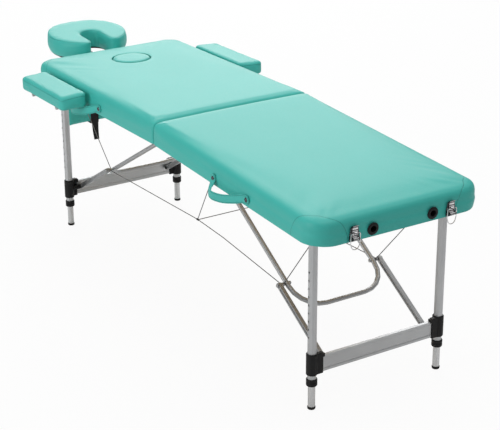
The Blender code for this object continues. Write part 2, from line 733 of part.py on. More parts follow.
def brace_tube(side):
    """U-shaped tube with its pivot pins and the cap nuts at its joints, from its pivot line."""
    def at(distance, y):
        return (side * distance * cos(BRACE_ANGLE), y, distance * sin(BRACE_ANGLE))

    bend = arc((BRACE_LENGTH - BRACE_BEND, BRACE_Y - BRACE_BEND), BRACE_BEND, 0, 90, 5)
    outline = [(-0.008, BRACE_Y)] + bend[::-1]
    outline += [(distance, -y) for distance, y in outline[::-1]]
    pieces = [bent_tube([at(distance, y) for distance, y in outline], BRACE_TUBE, 3)]
    for y in NEAR_FAR.values():
        pieces.append(rod(at(0.0, y * BRACE_Y), at(0.0, y * (BLOCK_Y[1] - 0.0015)), TRUNNION, 8))
        start = at(ARM_LENGTH, y * (BRACE_Y - BRACE_TUBE + 0.001))
        profile = [(0, 0.0080), (0.0040, 0.0072), (0.0062, 0.0045), (0.0062, -0.004), (0, -0.004)]
        pieces.append(turned(profile, along(start, (start[0], start[1] - y, start[2])), 8))
    return fuse(pieces)


def strut_place(side, y, distance):
    """Point along a strut, from its stud on the leg bracket."""
    step = STRUT_START.normalized() * distance
    return Vector((side * step.x, y, step.y))


def strut(side, y):
    """Grooved flat bar with round ends, a hole for the bracket stud and the cap screw of the joint."""
    half = STRUT_WIDTH / 2
    ends = arc((0, 0), half, 90, 270, 6) + arc((STRUT_LENGTH, 0), half, -90, 90, 6)
    angle = atan2(STRUT_START.y, side * STRUT_START.x)
    low, high = sorted((y * STRUT_INNER_Y, y * STRUT_OUTER_Y))

    def bar(points, start, end):
        outline = [turned_by(Vector(point), angle) for point in points]
        return prism([(point.x, point.y) for point in outline], 1, start, end)

    run = STRUT_LENGTH - 0.016
    groove = [(0.016, -0.0028), (run, -0.0028), (run, 0.0028), (0.016, 0.0028)]
    tools = [bar(groove, face - 0.002, face + 0.002) for face in (low, high)]
    tools.append(rod((0, low - 0.01, 0), (0, high + 0.01, 0), PIN_HOLE, 8))
    body = cut(bar(ends, low, high), tools)
    top = strut_place(side, y * STRUT_OUTER_Y, STRUT_LENGTH)
    cap = [(0, 0.0055), (0.0040, 0.0048), (0.0062, 0.0030), (0.0062, -0.002), (0, -0.002)]
    cap_screw = turned(cap, along(top, top + Vector((0, y, 0))), 8)
    shank = rod(top, strut_place(side, y * (BRACE_Y + BRACE_TUBE + 2 * GAP), STRUT_LENGTH), PIN_RADIUS, 8)
    return fuse([body, cap_screw, shank])


# Wire ropes, in the table's own coordinates
def in_half(u, y, z, side):
    """Point of a half's frame in the table's coordinates."""
    return Vector((side * (u * cos(PEAK) + z * sin(PEAK)), y, HINGE_HEIGHT - u * sin(PEAK) + z * cos(PEAK)))


def wire(start, end):
    """Straight run of wire rope."""
    return rod(start, end, WIRE_RADIUS, 5)


def eyelet(centre, bore, half):
    """Ring on a bolt."""
    reach = Vector((0, half, 0))
    return pipe(centre - reach, centre + reach, bore + 0.0026, bore, 8)


def pulled_in(start, end, distance):
    """Point a little way along a line."""
    return start + (end - start).normalized() * distance


def wire_ropes():
    """Wires between the brace joints, up to the leg pivots and to the hinge, and across, with crimps."""
    pieces = []
    for y in NEAR_FAR.values():
        knot = Vector((0, y * JUNCTION.y, JUNCTION.z))
        pieces.append(rod(knot - Vector((0.0080, 0, 0)), knot + Vector((0.0080, 0, 0)), 0.0040, 8))
        pieces.append(wire(knot, Vector((0, y * 0.012, HINGE_HEIGHT - 0.008))))
    across = Vector((0, JUNCTION.y, 0))
    height = Vector((0, 0, JUNCTION.z - 0.0011))
    pieces.insert(1, wire(height - across, height + across))
    for side in SIDES.values():
        for y in NEAR_FAR.values():
            knot = Vector((side * 0.0060, y * JUNCTION.y, JUNCTION.z))
            first = in_half(JOINT.x, y * LONG_WIRE_Y, JOINT.y, side)
            second = in_half(JOINT.x, y * END_WIRE_Y, JOINT.y, side)
            top = in_half(LEG_U, y * ANCHOR_Y, LEG_PIVOT_Z, side)
            pieces.append(wire(knot, pulled_in(first, knot, 0.0052)))
            pieces.append(eyelet((first + second) / 2, PIN_HOLE + 0.0002, 0.0046))
            pieces.append(wire(pulled_in(second, top, 0.0052), pulled_in(top, second, 0.0055)))
            pieces.append(eyelet(top, TRUNNION + 0.0006, 0.0015))
    return fuse(pieces)


# Headrest, armrests and hand pallet
def headrest_frame(side):
    """Two rods that plug into the head end, a cross rod and the horseshoe plate fixed on them."""
    outline = arc((HEADREST_CENTRE, 0), HEADREST_RADIUS - 0.018, -155, 155, 20)
    outline += arc((NOTCH_CENTRE - 0.002, 0), 0.052, 90, -90, 10)
    pieces = [prism(facing(outline, side), 2, *PLATFORM_Z)]
    for y in NEAR_FAR.values():
        ends = [(side * u, y * SOCKET_Y, SOCKET_Z) for u in ROD_ENDS]
        pieces.append(rod(*ends, ROD_RADIUS, 14))
    ends = [(side * CROSS_ROD_U, y * SOCKET_Y, SOCKET_Z) for y in NEAR_FAR.values()]
    pieces.append(rod(*ends, CROSS_ROD_RADIUS, 8))
    return fuse(pieces)


def headrest_sides():
    """Points on the edge of the face opening and on the round rim, in pairs from tip to tip."""
    def rim(angle):
        return arc((HEADREST_CENTRE, 0), HEADREST_RADIUS, angle, angle, 1)[0]

    across = NOTCH_HALF + HEADREST_TIP
    reach = sqrt((HEADREST_RADIUS - HEADREST_TIP) ** 2 - across ** 2)
    slope = degrees(atan2(across, reach))
    tips = []
    for part in (0.25, 0.6, 1.0):
        turn = part * (90 + slope) / 2
        middle = 135 + slope / 2
        tips.append(arc((HEADREST_CENTRE - reach, -across), HEADREST_TIP, middle - turn, middle + turn, 1))
    tips += [((u, -NOTCH_HALF), rim(angle)) for u, angle in ((1.004, -135), (1.032, -113))]
    edge = arc((NOTCH_CENTRE, 0), NOTCH_HALF, -90, 90, 12)
    back = [(point, rim(-92 + 184 * step / 12)) for step, point in enumerate(edge)]
    return tips + back + [tuple((u, -y) for u, y in pair) for pair in tips[::-1]]


def crescent(side):
    """Headrest cushion: a round pad with a slot for the face, drawn down at its two tips."""
    low, high = HEADREST_Z
    pairs = headrest_sides()
    rings = []
    for index, (inner, outer) in enumerate(pairs):
        scale = {0: 0.66, 1: 0.84, 2: 0.95}.get(min(index, len(pairs) - 1 - index), 1.0)
        ring = []
        for step in range(16):
            turn = 2 * pi * step / 16
            across = 0.5 + 0.5 * abs(cos(turn)) ** 0.55 * (1 if cos(turn) > 0 else -1)
            rise = sin(turn)
            crown = 0.5 * (high - low) * abs(rise) ** 0.55 * (scale if rise > 0 else -1)
            u, y = [start + (end - start) * across for start, end in zip(inner, outer)]
            ring.append((side * u, y, (low + high) / 2 + crown))
        rings.append(ring)
    return loft(rings)


def padded_slab(low, high, corner, edge, crown, draw):
    """Cushion between two corners, with round edges, a crowned top and drawn-in sides."""
    (x0, y0, z0), (x1, y1, z1) = low, high
    insets = [(0.5 * edge, z0), (0.15 * edge, z0 + 0.18 * (z1 - z0)), (0.0, z0 + 0.45 * (z1 - z0)),
              (0.10 * edge, z0 + 0.70 * (z1 - z0)), (0.45 * edge, z1 - 0.16 * (z1 - z0)), (edge, z1 - crown)]
    insets += [(2.2 * edge, z1 - 0.4 * crown), (3.4 * edge, z1)]
    rings = []
    for inset, z in insets:
        radius = max(corner - inset, 0.004)
        outline = slab_outline((x0 + inset, y0 + inset), (x1 - inset, y1 - inset), (radius, radius),
                               (4, 4, 4, 4), draw)
        rings.append([(x, y, z) for x, y in outline])
    return loft(rings)


def armrest_pad(side, y):
    """Padded rest beside the head half."""
    us = sorted(side * u for u in ARM_U)
    ys = sorted(y * width for width in ARM_Y)
    pad = padded_slab((us[0], ys[0], ARM_Z[0]), (us[1], ys[1], ARM_Z[1]), 0.022, 0.013, 0.003, 0.002)
    grooves = [rod((side * u, y * 0.29, ARM_ROD_Z), (side * u, y * 0.43, ARM_ROD_Z), 0.0075, 10)
               for u in ARM_ROD_U]
    low, high = ARM_ROD_U
    slot = box((side * (low - 0.0125), y * 0.3495, 0.0),
               (side * (high + 0.0125), y * 0.3755, ARM_STRIP_Z[1] + GAP))
    return cut(cut(pad, grooves), [slot])


def armrest_frame(side, y):
    """Two rods with end caps, joined by a strip under the pad."""
    low, high = ARM_ROD_U
    strip = box((side * (low - 0.012), y * 0.350, ARM_STRIP_Z[0]),
                (side * (high + 0.012), y * 0.375, ARM_STRIP_Z[1]))
    pieces = [strip]
    profile = [(0, 0.141), (0.0070, 0.139), (0.0070, 0.130), (ARM_ROD_RADIUS, 0.130), (ARM_ROD_RADIUS, 0.0),
               (0, 0.0)]
    for u in ARM_ROD_U:
        start = (side * u, y * 0.264, ARM_ROD_Z)
        pieces.append(turned(profile, along(start, (side * u, y, ARM_ROD_Z)), 10))
    return fuse(pieces)


def sling_loop(grow):
    """Outline of a strap over the cross rod and under the pad, in X and Z from the rod."""
    reach = PALLET_X[1] + GAP + grow
    low = PALLET_Z[0] - GAP - grow
    shoulder = PALLET_Z[1] + grow
    crest = arc((0, 0), CROSS_ROD_RADIUS + 2 * GAP + grow, 15, 165, 8)
    return [(reach, low), (reach, shoulder)] + crest + [(-reach, shoulder), (-reach, low)]


def pallet_sling():
    """Webbing strap over the cross rod and round the pad, with a loose tail in front."""
    half = STRAP_WIDTH / 2
    low, high = STRAP_Y - half, STRAP_Y + half
    outer = prism(sling_loop(STRAP_THICKNESS), 1, low, high)
    loop = cut(outer, [prism(sling_loop(0.0), 1, low - 0.01, high + 0.01)])
    face = PALLET_X[1] + GAP + 0.0005
    top = PALLET_Z[0] + 0.040
    bottom = PALLET_Z[0] - TAIL_LENGTH
    tail = [(low + 0.001, top), (low + 0.004, bottom + 0.003), (high - 0.007, bottom), (high - 0.001, top)]
    return fuse([loop, prism(tail, 0, face, face + STRAP_THICKNESS)])


# Assembly
def build_half(half):
    """Everything that is fixed to one half."""
    side = SIDES[half]
    base = frame(half + "_half", (HINGE_X, 0, HINGE_HEIGHT), turn=side * PEAK)
    cushion = bed_cushion(side)
    wood = wooden_frame(side)
    if half == "head":
        cushion = cut(cushion, [face_hole(side, PLUG_RADIUS + 2 * GAP)])
        wood = cut(wood, [face_hole(side, DECK_HOLE_RADIUS)])
    node(half + "_cushion", cushion, VINYL, base)
    node(half + "_frame", wood, WOOD, base)
    node(half + "_hinge", hinge_leaf(side), STEEL, base)
    node(half + "_handle", handle(side), VINYL, base)
    return base


def build_legs(half, base):
    """Leg frame, inner legs, brace and struts of one half; the legs stand upright."""
    side = SIDES[half]
    pivot = frame(half + "_leg_axis", (side * LEG_U, 0, LEG_PIVOT_Z), base, -side * PEAK)
    line = frame(half + "_brace_axis", (side * BRACE_PIVOT.x, 0, BRACE_PIVOT.y), base)
    joint = frame(half + "_strut_axis", (side * STRUT_ARM.x, 0, STRUT_ARM.y), pivot)
    node(half + "_crossbar", crossbar(side), ALUMINIUM, pivot)
    node(half + "_brace", brace_tube(side), ALUMINIUM, line)
    for name, y in NEAR_FAR.items():
        leg = f"{half}_{name}_"
        node(leg + "outer_leg", outer_leg(y), ALUMINIUM, pivot)
        node(leg + "leg_bracket", leg_bracket(side, y), BLACK, pivot)
        node(leg + "collar", collar(y), BLACK, pivot)
        node(leg + "inner_leg", inner_leg(y), ALUMINIUM, pivot)
        node(leg + "foot", rubber_foot(y), RUBBER, pivot)
        node(leg + "button", snap_button(y), CHROME, pivot)
        node(leg + "strut", strut(side, y), ALUMINIUM, joint)


def build_foot_end(base):
    """Accessory sockets and latches on the foot end."""
    for name, y in NEAR_FAR.items():
        node(f"foot_{name}_socket", socket(SIDES["foot"], y), BLACK, base)
        node(f"latch_{name}_base", latch_base(y * LATCH_Y), CHROME, base)
        hinge = frame(f"latch_{name}_axis", (LEVER_PIVOT[0], y * LATCH_Y, LEVER_PIVOT[1]), base)
        node(f"latch_{name}_lever", latch_lever(), CHROME, hinge)
        bar = frame(f"latch_{name}_bail_axis", (BAIL_PIVOT[0], y * LATCH_Y, BAIL_PIVOT[1]), base)
        node(f"latch_{name}_bail", latch_bail(), CHROME, bar)


def build_head_end(base):
    """Strikes, plug, headrest, armrests and hand pallet on the head half."""
    side = SIDES["head"]
    node("face_plug", face_plug(side), VINYL, base)
    node("headrest_frame", headrest_frame(side), BLACK, base)
    node("headrest_cushion", crescent(side), VINYL, base)
    for name, y in NEAR_FAR.items():
        node(f"head_{name}_strike", strike(side, y), BLACK, base)
        node(f"armrest_{name}_pad", armrest_pad(side, y), VINYL, base)
        node(f"armrest_{name}_frame", armrest_frame(side, y), ALUMINIUM, base)
    swing = frame("pallet_axis", (side * CROSS_ROD_U, 0, SOCKET_Z), base, -side * PEAK)
    low = (PALLET_X[0], -PALLET_HALF_WIDTH, PALLET_Z[0])
    high = (PALLET_X[1], PALLET_HALF_WIDTH, PALLET_Z[1])
    node("pallet_pad", padded_slab(low, high, 0.016, 0.008, 0.002, 0.002), VINYL, swing)
    node("pallet_sling", pallet_sling(), WEBBING, swing)


FRAMES = {half: build_half(half) for half in SIDES}
for half_name, half_frame in FRAMES.items():
    build_legs(half_name, half_frame)
build_foot_end(FRAMES["foot"])
build_head_end(FRAMES["head"])
node("wire_ropes", wire_ropes(), STEEL, frame("middle", (HINGE_X, 0, 0)))
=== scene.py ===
# %% [markdown]
# A folding massage table: two padded halves on a wooden frame, folding aluminium legs held by
# U-shaped braces and wire ropes, and a headrest, armrests and a hand pallet that plug in.
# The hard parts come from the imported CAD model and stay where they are. This script gives them
# their finishes, and builds the soft parts and the wires anew, fuller than CAD solids can be.

# %% Frame
from math import atan2, cos, hypot, pi, radians, sin, tan

import bmesh
import bpy
from mathutils import Matrix, Vector


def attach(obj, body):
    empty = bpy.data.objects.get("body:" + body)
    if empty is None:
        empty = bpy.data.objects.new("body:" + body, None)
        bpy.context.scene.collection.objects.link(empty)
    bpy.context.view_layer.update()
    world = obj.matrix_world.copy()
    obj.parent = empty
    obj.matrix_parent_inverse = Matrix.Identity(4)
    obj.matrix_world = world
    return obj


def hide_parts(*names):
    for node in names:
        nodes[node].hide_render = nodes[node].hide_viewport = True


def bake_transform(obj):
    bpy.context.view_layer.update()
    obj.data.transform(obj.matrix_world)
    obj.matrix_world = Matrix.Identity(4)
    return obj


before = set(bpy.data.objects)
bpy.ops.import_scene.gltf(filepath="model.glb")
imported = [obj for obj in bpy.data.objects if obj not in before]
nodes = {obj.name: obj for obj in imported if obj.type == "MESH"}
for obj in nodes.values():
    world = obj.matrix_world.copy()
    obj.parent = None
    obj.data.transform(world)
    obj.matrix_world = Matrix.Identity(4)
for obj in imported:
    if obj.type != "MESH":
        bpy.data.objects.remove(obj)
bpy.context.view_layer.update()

# %% [markdown]
# The camera could be turned by eye until the edges agree. Here its place was worked out from the
# lengths of the bed and the four feet: a long lens, from the foot end, a little above the bed.

# %% Camera
AZIMUTH, ELEVATION, ROLL = radians(58.3775), radians(22.6943), radians(-0.3436)
CAMERA_PLACE = (4.1281, -2.3828, 2.2152)
FOCAL_PIXELS, PHOTO_WIDTH = 1475.21, 500

ahead = Vector((-sin(AZIMUTH) * cos(ELEVATION), cos(AZIMUTH) * cos(ELEVATION), -sin(ELEVATION)))
level = Vector((cos(AZIMUTH), sin(AZIMUTH), 0))
upward = level.cross(ahead)
right = cos(ROLL) * level + sin(ROLL) * upward
above = cos(ROLL) * upward - sin(ROLL) * level
lens = bpy.data.cameras.new("camera")
lens.sensor_fit = "HORIZONTAL"
lens.sensor_width = 36.0
lens.lens = lens.sensor_width * FOCAL_PIXELS / PHOTO_WIDTH
camera = bpy.data.objects.new("camera", lens)
turn = Matrix((right, above, -ahead)).transposed().to_4x4()
camera.matrix_world = Matrix.Translation(CAMERA_PLACE) @ turn
bpy.context.scene.collection.objects.link(camera)
bpy.context.scene.camera = camera
print("camera: lens %.1f mm" % lens.lens)

# %% [markdown]
# A product photo has a pale floor and large soft lamps. One wide lamp hangs over the head half and
# a smaller one over the foot half, one lights the near side, and one behind lays a pale sheen on the
# top. The floor throws light back up. Only rays from the camera see the air and the floor as white,
# so the metal has grey to mirror as well.

# %% Floor, air and lamps
def seen_as_white(tree):
    """Give 1 for rays from the camera, and 0 for light that falls on things."""
    return tree.nodes.new("ShaderNodeLightPath").outputs["Is Camera Ray"]


air = bpy.data.worlds.new("air")
bpy.context.scene.world = air
air.use_nodes = True
tree = air.node_tree
glow = tree.nodes["Background"]
glow.inputs["Strength"].default_value = 0.28
white = tree.nodes.new("ShaderNodeBackground")
white.inputs["Strength"].default_value = 1.0
for shade in (glow, white):
    shade.inputs["Color"].default_value = (1, 1, 1, 1)
choice = tree.nodes.new("ShaderNodeMixShader")
tree.links.new(seen_as_white(tree), choice.inputs[0])
tree.links.new(glow.outputs[0], choice.inputs[1])
tree.links.new(white.outputs[0], choice.inputs[2])
tree.links.new(choice.outputs[0], tree.nodes["World Output"].inputs["Surface"])

bpy.ops.object.select_all(action="DESELECT")
bpy.ops.mesh.primitive_plane_add(size=30, location=(0, 0, -0.0006))
floor = bpy.context.object
floor.name = "floor"
paper = bpy.data.materials.new("paper_floor")
paper.use_nodes = True
tree = paper.node_tree
sheet = tree.nodes["Principled BSDF"]
sheet.inputs["Base Color"].default_value = (0.86, 0.86, 0.86, 1)
sheet.inputs["Roughness"].default_value = 0.9
light = tree.nodes.new("ShaderNodeEmission")
share = tree.nodes.new("ShaderNodeMath")
share.operation = "MULTIPLY"
share.inputs[1].default_value = 0.93
tree.links.new(seen_as_white(tree), share.inputs[0])
choice = tree.nodes.new("ShaderNodeMixShader")
tree.links.new(share.outputs[0], choice.inputs[0])
tree.links.new(sheet.outputs[0], choice.inputs[1])
tree.links.new(light.outputs[0], choice.inputs[2])
tree.links.new(choice.outputs[0], tree.nodes["Material Output"].inputs["Surface"])
floor.data.materials.append(paper)


def lamp(name, place, aim, size, power):
    """Hang a square soft lamp at a place, turned to a point."""
    panel = bpy.data.lights.new(name, "AREA")
    panel.shape = "SQUARE"
    panel.size = size
    panel.energy = power
    hung = bpy.data.objects.new(name, panel)
    way = Vector(aim) - Vector(place)
    turn = way.to_track_quat("-Z", "Y").to_matrix().to_4x4()
    hung.matrix_world = Matrix.Translation(place) @ turn
    bpy.context.scene.collection.objects.link(hung)


lamp("lamp_over_bed", (-0.9, 0.9, 3.4), (-0.9, 0.9, 0.0), 5.0, 64)
lamp("lamp_near_side", (0.2, -4.4, 2.0), (0.1, 0.0, 0.5), 2.6, 70)
lamp("lamp_behind", (-5.2, 2.9, 2.9), (0.0, 0.0, 0.6), 4.4, 172)
lamp("lamp_foot_end", (2.1, 0.1, 3.9), (0.9, 0.0, 0.5), 2.4, 28)
bpy.context.scene.view_settings.view_transform = "Standard"
print("stage: floor, air and 4 lamps")

# %% [markdown]
# Finishes are node trees. Writing them as sums keeps them readable, so one small class wraps a
# socket: arithmetic on it adds Math nodes. Everything reads the piece's own Object coordinates
# in metres, so a grain has its real size on each piece and stays put when the table folds.

# %% Shader words
class Socket:
    """One output of a node tree that Python arithmetic can work on."""

    def __init__(self, finish, output):
        self.finish = finish
        self.output = output

    def math(self, operation, *others):
        values = {index: value for index, value in enumerate((self, *others))}
        return self.finish.node("ShaderNodeMath", {"operation": operation}, values)

    def __add__(self, other):
        return self.math("ADD", other)

    def __sub__(self, other):
        return self.math("SUBTRACT", other)

    def __rsub__(self, other):
        return (self * -1.0) + other

    def __mul__(self, other):
        return self.math("MULTIPLY", other)

    def __truediv__(self, other):
        return self.math("DIVIDE", other)

    def __abs__(self):
        return self.math("ABSOLUTE")

    def clip(self):
        return self.math("MAXIMUM", 0.0).math("MINIMUM", 1.0)

    __radd__ = __add__
    __rmul__ = __mul__


class Finish:
    """A material whose nodes are written as sums."""

    def __init__(self, name, **constants):
        self.material = bpy.data.materials.new(name)
        self.material.use_nodes = True
        self.tree = self.material.node_tree
        self.shader = self.tree.nodes["Principled BSDF"]
        for key, value in constants.items():
            self.shader.inputs[key.replace("_", " ")].default_value = value
        self.place = self.node("ShaderNodeTexCoord", out="Object")

    def node(self, kind, settings=None, sockets=None, out=0):
        """Add a node: its type, its settings, the values or links of its sockets."""
        made = self.tree.nodes.new(kind)
        for key, value in (settings or {}).items():
            setattr(made, key, value)
        for key, value in (sockets or {}).items():
            if isinstance(value, Socket):
                self.tree.links.new(value.output, made.inputs[key])
            else:
                made.inputs[key].default_value = value
        return Socket(self, made.outputs[out])

    def stretched(self, scale):
        """The piece's coordinates, scaled along each axis."""
        return self.node("ShaderNodeMapping", None, {"Vector": self.place, "Scale": scale})

    def noise(self, scale, detail=2.0, place=None):
        return self.node("ShaderNodeTexNoise", None,
                         {"Vector": place or self.place, "Scale": scale, "Detail": detail})

    def cells(self, scale):
        return self.node("ShaderNodeTexVoronoi", None, {"Vector": self.place, "Scale": scale})

    def axes(self):
        """The piece's X, Y and Z, one by one."""
        split = self.tree.nodes.new("ShaderNodeSeparateXYZ")
        self.tree.links.new(self.place.output, split.inputs[0])
        return [Socket(self, output) for output in split.outputs]

    def attribute(self, name):
        return self.node("ShaderNodeAttribute", {"attribute_name": name}, None, out="Fac")

    def blend(self, share, first, second):
        """Mix two colours."""
        return self.node("ShaderNodeMix", {"data_type": "RGBA"},
                         {0: share, 6: first, 7: second}, out=2)

    def give(self, socket, value):
        self.tree.links.new(value.output, self.shader.inputs[socket])

    def relief(self, height):
        """Turn a height in metres into a bump."""
        sockets = {"Strength": 1.0, "Distance": 1.0, "Height": height}
        self.give("Normal", self.node("ShaderNodeBump", None, sockets, out="Normal"))


def rgb(red, green, blue):
    """A colour as a screen shows it, 0 to 255, in the linear values that shaders want."""
    def linear(value):
        value /= 255
        return value / 12.92 if value <= 0.04045 else ((value + 0.055) / 1.055) ** 2.4
    return (linear(red), linear(green), linear(blue), 1.0)


print("shader words ready")

# %% [markdown]
# The cover is mint PVC leather: an even colour, a fine pebble grain and a soft shine. A seam
# can't be drawn with noise, so each padded piece carries two numbers at every point: the distance
# to its seam, and how far along the seam that is. The finish makes the groove and the small
# puckers from them, as sharp in a close view as in a far one.

# %% Mint vinyl
MINT = rgb(70, 190, 180)
MINT_DEEP = rgb(63, 184, 173)
SEAM_SHADE = rgb(28, 104, 94)
GROOVE_HALF, SWELL_HALF, STITCH = 0.0013, 0.011, 0.0085


def vinyl_finish():
    cover = Finish("mint_vinyl", Specular_IOR_Level=0.36)
    distance = cover.attribute("seam")
    along = cover.attribute("along")
    near = abs(distance)
    groove = (1.0 - near / GROOVE_HALF).clip()
    swell = (1.0 - near / SWELL_HALF).clip()
    pucker = (along * (2 * pi / STITCH)).math("SINE") * swell * swell
    cloud = cover.noise(5.0, 3.0)
    pebble = cover.cells(820.0)
    crease = cover.noise(190.0, 3.0)
    tone = cover.blend(cloud, MINT_DEEP, MINT)
    cover.give("Base Color", cover.blend(groove * 0.6, tone, SEAM_SHADE))
    cover.give("Roughness", 0.40 + 0.10 * crease + 0.25 * groove)
    cover.relief(pebble * 0.00011 + crease * 0.00008 - groove * 0.0009 + pucker * 0.00022)
    return cover.material


VINYL = vinyl_finish()
print("finish:", VINYL.name)

# %% [markdown]
# The tubes are satin aluminium, drawn through a die, so fine lines run along them. Noise that is
# stretched a hundredfold along the tube gives such lines. The pieces point different ways, so the
# lines follow Z on the legs, Y on the crossbars and X on the braces.

# %% Metals
def drawn_metal(name, colour, roughness, lines):
    """Metal with fine lines along the axis whose scale is small."""
    metal = Finish(name, Metallic=1.0)
    line = metal.noise(1.0, 3.0, metal.stretched(lines))
    patch = metal.noise(14.0, 3.0)
    dull = tuple(0.82 * value for value in colour[:3]) + (1.0,)
    metal.give("Base Color", metal.blend(patch * 0.6 + line * 0.3, colour, dull))
    metal.give("Roughness", roughness - 0.08 + 0.12 * line + 0.08 * patch)
    metal.relief(line * 0.00002)
    return metal.material


# The copies for lying, crossing and flat pieces are darker than the upright one: painted shade, one
# tone for each way a tube lies to the lamps.
ALUMINIUM_TONE = (0.60, 0.61, 0.62, 1)
BRIGHT_TONE = (0.76, 0.77, 0.78, 1)
SHADED_ALUMINIUM_TONE = (0.56, 0.57, 0.58, 1)
SHADED_STRUT_TONE = (0.47, 0.48, 0.49, 1)
RIB_SPACING = 0.0085
ALUMINIUM_UPRIGHT = drawn_metal("satin_aluminium_upright", ALUMINIUM_TONE, 0.42, (900, 900, 9))
ALUMINIUM_LYING = drawn_metal("satin_aluminium_lying", SHADED_ALUMINIUM_TONE, 0.42, (12, 900, 900))
ALUMINIUM_ACROSS = drawn_metal("satin_aluminium_across", SHADED_ALUMINIUM_TONE, 0.42, (900, 12, 900))
ALUMINIUM_INNER = drawn_metal("bright_aluminium_upright", BRIGHT_TONE, 0.36, (900, 900, 9))
ALUMINIUM_FLAT = drawn_metal("satin_aluminium_flat", SHADED_STRUT_TONE, 0.42, (12, 900, 12))
CHROME = drawn_metal("chrome", (0.92, 0.93, 0.94, 1), 0.12, (60, 60, 60))
# The latch base plates take this near-black chrome as painted shade, standing for the dark gap
# behind the lever; the handle screws wear it too.
DARK_CHROME_AND_SHADE = drawn_metal("dark_chrome_and_painted_shade", (0.13, 0.13, 0.14, 1), 0.22, (60, 60, 60))
WIRE_STEEL = drawn_metal("wire_steel", (0.22, 0.22, 0.225, 1), 0.45, (300, 300, 300))
STEEL = drawn_metal("zinc_steel", (0.50, 0.50, 0.51, 1), 0.36, (300, 12, 300))


def ribbed_chrome():
    """Bright plate pressed into ribs across the lever, with painted shade between the ribs."""
    metal = Finish("ribbed_chrome", Metallic=1.0)
    rib = (metal.axes()[2] * (2 * pi / RIB_SPACING)).math("SINE")
    dirt = metal.noise(120.0, 2.0)
    # painted shade: the base colour turns near black in the grooves between the ribs
    dark = (rib * -1.6 - 0.35).clip()
    metal.give("Base Color", metal.blend(dark, (0.95, 0.95, 0.96, 1), (0.06, 0.06, 0.065, 1)))
    metal.give("Roughness", 0.12 + 0.10 * dirt + 0.2 * dark)
    metal.relief(rib * 0.0004)
    return metal.material


RIBBED_CHROME = ribbed_chrome()
print("finishes: 10 metals")

# %% [markdown]
# Brackets, collars and grommets are moulded black plastic with a fine spark texture, the feet are
# duller rubber. Both show wear only as a change of gloss, so noise drives their roughness.

# %% Plastic and rubber
def moulded(name, colour, roughness, grain, depth):
    black = Finish(name, Specular_IOR_Level=0.25)
    spark = black.noise(grain, 2.0)
    patch = black.noise(22.0, 3.0)
    lighter = tuple(1.9 * value + 0.004 for value in colour[:3]) + (1.0,)
    black.give("Base Color", black.blend(patch * 0.5, colour, lighter))
    black.give("Roughness", roughness + 0.16 * patch + 0.06 * spark)
    black.relief(spark * depth)
    return black.material


PLASTIC = moulded("black_plastic", (0.007, 0.007, 0.0075, 1), 0.40, 900.0, 0.00006)
RUBBER = moulded("black_rubber", (0.012, 0.012, 0.012, 1), 0.66, 420.0, 0.00012)
print("finishes: plastic and rubber")

# %% [markdown]
# Under the cover the frame is birch: solid rails and a thin plywood deck. Growth rings seen along
# the grain are long streaks, so a wave runs across the board and noise bends it.

# %% Birch
def birch_finish():
    wood = Finish("birch_wood", Specular_IOR_Level=0.35)
    along_grain = wood.stretched((1.2, 14.0, 14.0))
    streak = wood.node("ShaderNodeTexWave", {"bands_direction": "Y"},
                       {"Vector": along_grain, "Scale": 1.4, "Distortion": 7.0, "Detail": 3.0,
                        "Detail Scale": 1.6})
    pore = wood.noise(1.0, 3.0, wood.stretched((30, 700, 700)))
    pale, honey = rgb(224, 208, 182), rgb(200, 174, 140)
    wood.give("Base Color", wood.blend(streak * 0.55 + pore * 0.35, pale, honey))
    wood.give("Roughness", 0.52 + 0.15 * pore)
    wood.relief(pore * 0.00008 + streak * 0.00004)
    return wood.material


BIRCH = birch_finish()
print("finish:", BIRCH.name)

# %% [markdown]
# The straps of the hand pallet are black webbing. Its weave is two sets of ribs that cross:
# a product of two sine waves along and across the strap, one thread a little over a millimetre.

# %% Webbing
WEFT_SPACING, WARP_SPACING = 0.0022, 0.0026


def webbing_finish():
    strap = Finish("black_webbing", Specular_IOR_Level=0.3)
    x, y, z = strap.axes()
    weft = ((z + x) * (2 * pi / WEFT_SPACING)).math("SINE")
    warp = (y * (2 * pi / WARP_SPACING)).math("SINE")
    weave = weft * warp
    fluff = strap.noise(260.0, 3.0)
    strap.give("Base Color", strap.blend(fluff * 0.5 + (weave + 1.0) * 0.15,
                                         (0.008, 0.008, 0.009, 1), (0.035, 0.035, 0.038, 1)))
    strap.give("Roughness", 0.72 + 0.15 * fluff)
    strap.relief(weave * 0.00025 + fluff * 0.0001)
    return strap.material


WEBBING = webbing_finish()
print("finish:", WEBBING.name)

# %% [markdown]
# Each CAD solid that stays gets the finish of the real piece. Names tell what a piece is, so a
# table from a word in the name to a finish does it, first match first.

# %% Finishes on the solids
FINISH_BY_WORD = (("outer_leg", ALUMINIUM_UPRIGHT), ("inner_leg", ALUMINIUM_INNER),
                  ("crossbar", ALUMINIUM_ACROSS), ("brace", ALUMINIUM_LYING),
                  ("strut", ALUMINIUM_FLAT), ("armrest_near_frame", ALUMINIUM_ACROSS),
                  ("armrest_far_frame", ALUMINIUM_ACROSS),
                  ("leg_bracket", PLASTIC), ("collar", PLASTIC), ("socket", PLASTIC),
                  ("headrest_frame", PLASTIC), ("button", CHROME), ("lever", RIBBED_CHROME),
                  # The latch base is near black: painted shade in the gap behind the lever.
                  ("_base", DARK_CHROME_AND_SHADE), ("latch", CHROME), ("strike", CHROME),
                  ("hinge", STEEL), ("head_frame", BIRCH), ("foot_frame", BIRCH), ("_foot", RUBBER))
dressed = 0
for name, solid in nodes.items():
    finish = next((made for word, made in FINISH_BY_WORD if word in name), None)
    if finish:
        solid.data.materials.clear()
        solid.data.materials.append(finish)
        dressed += 1
print("solids with a finish:", dressed)

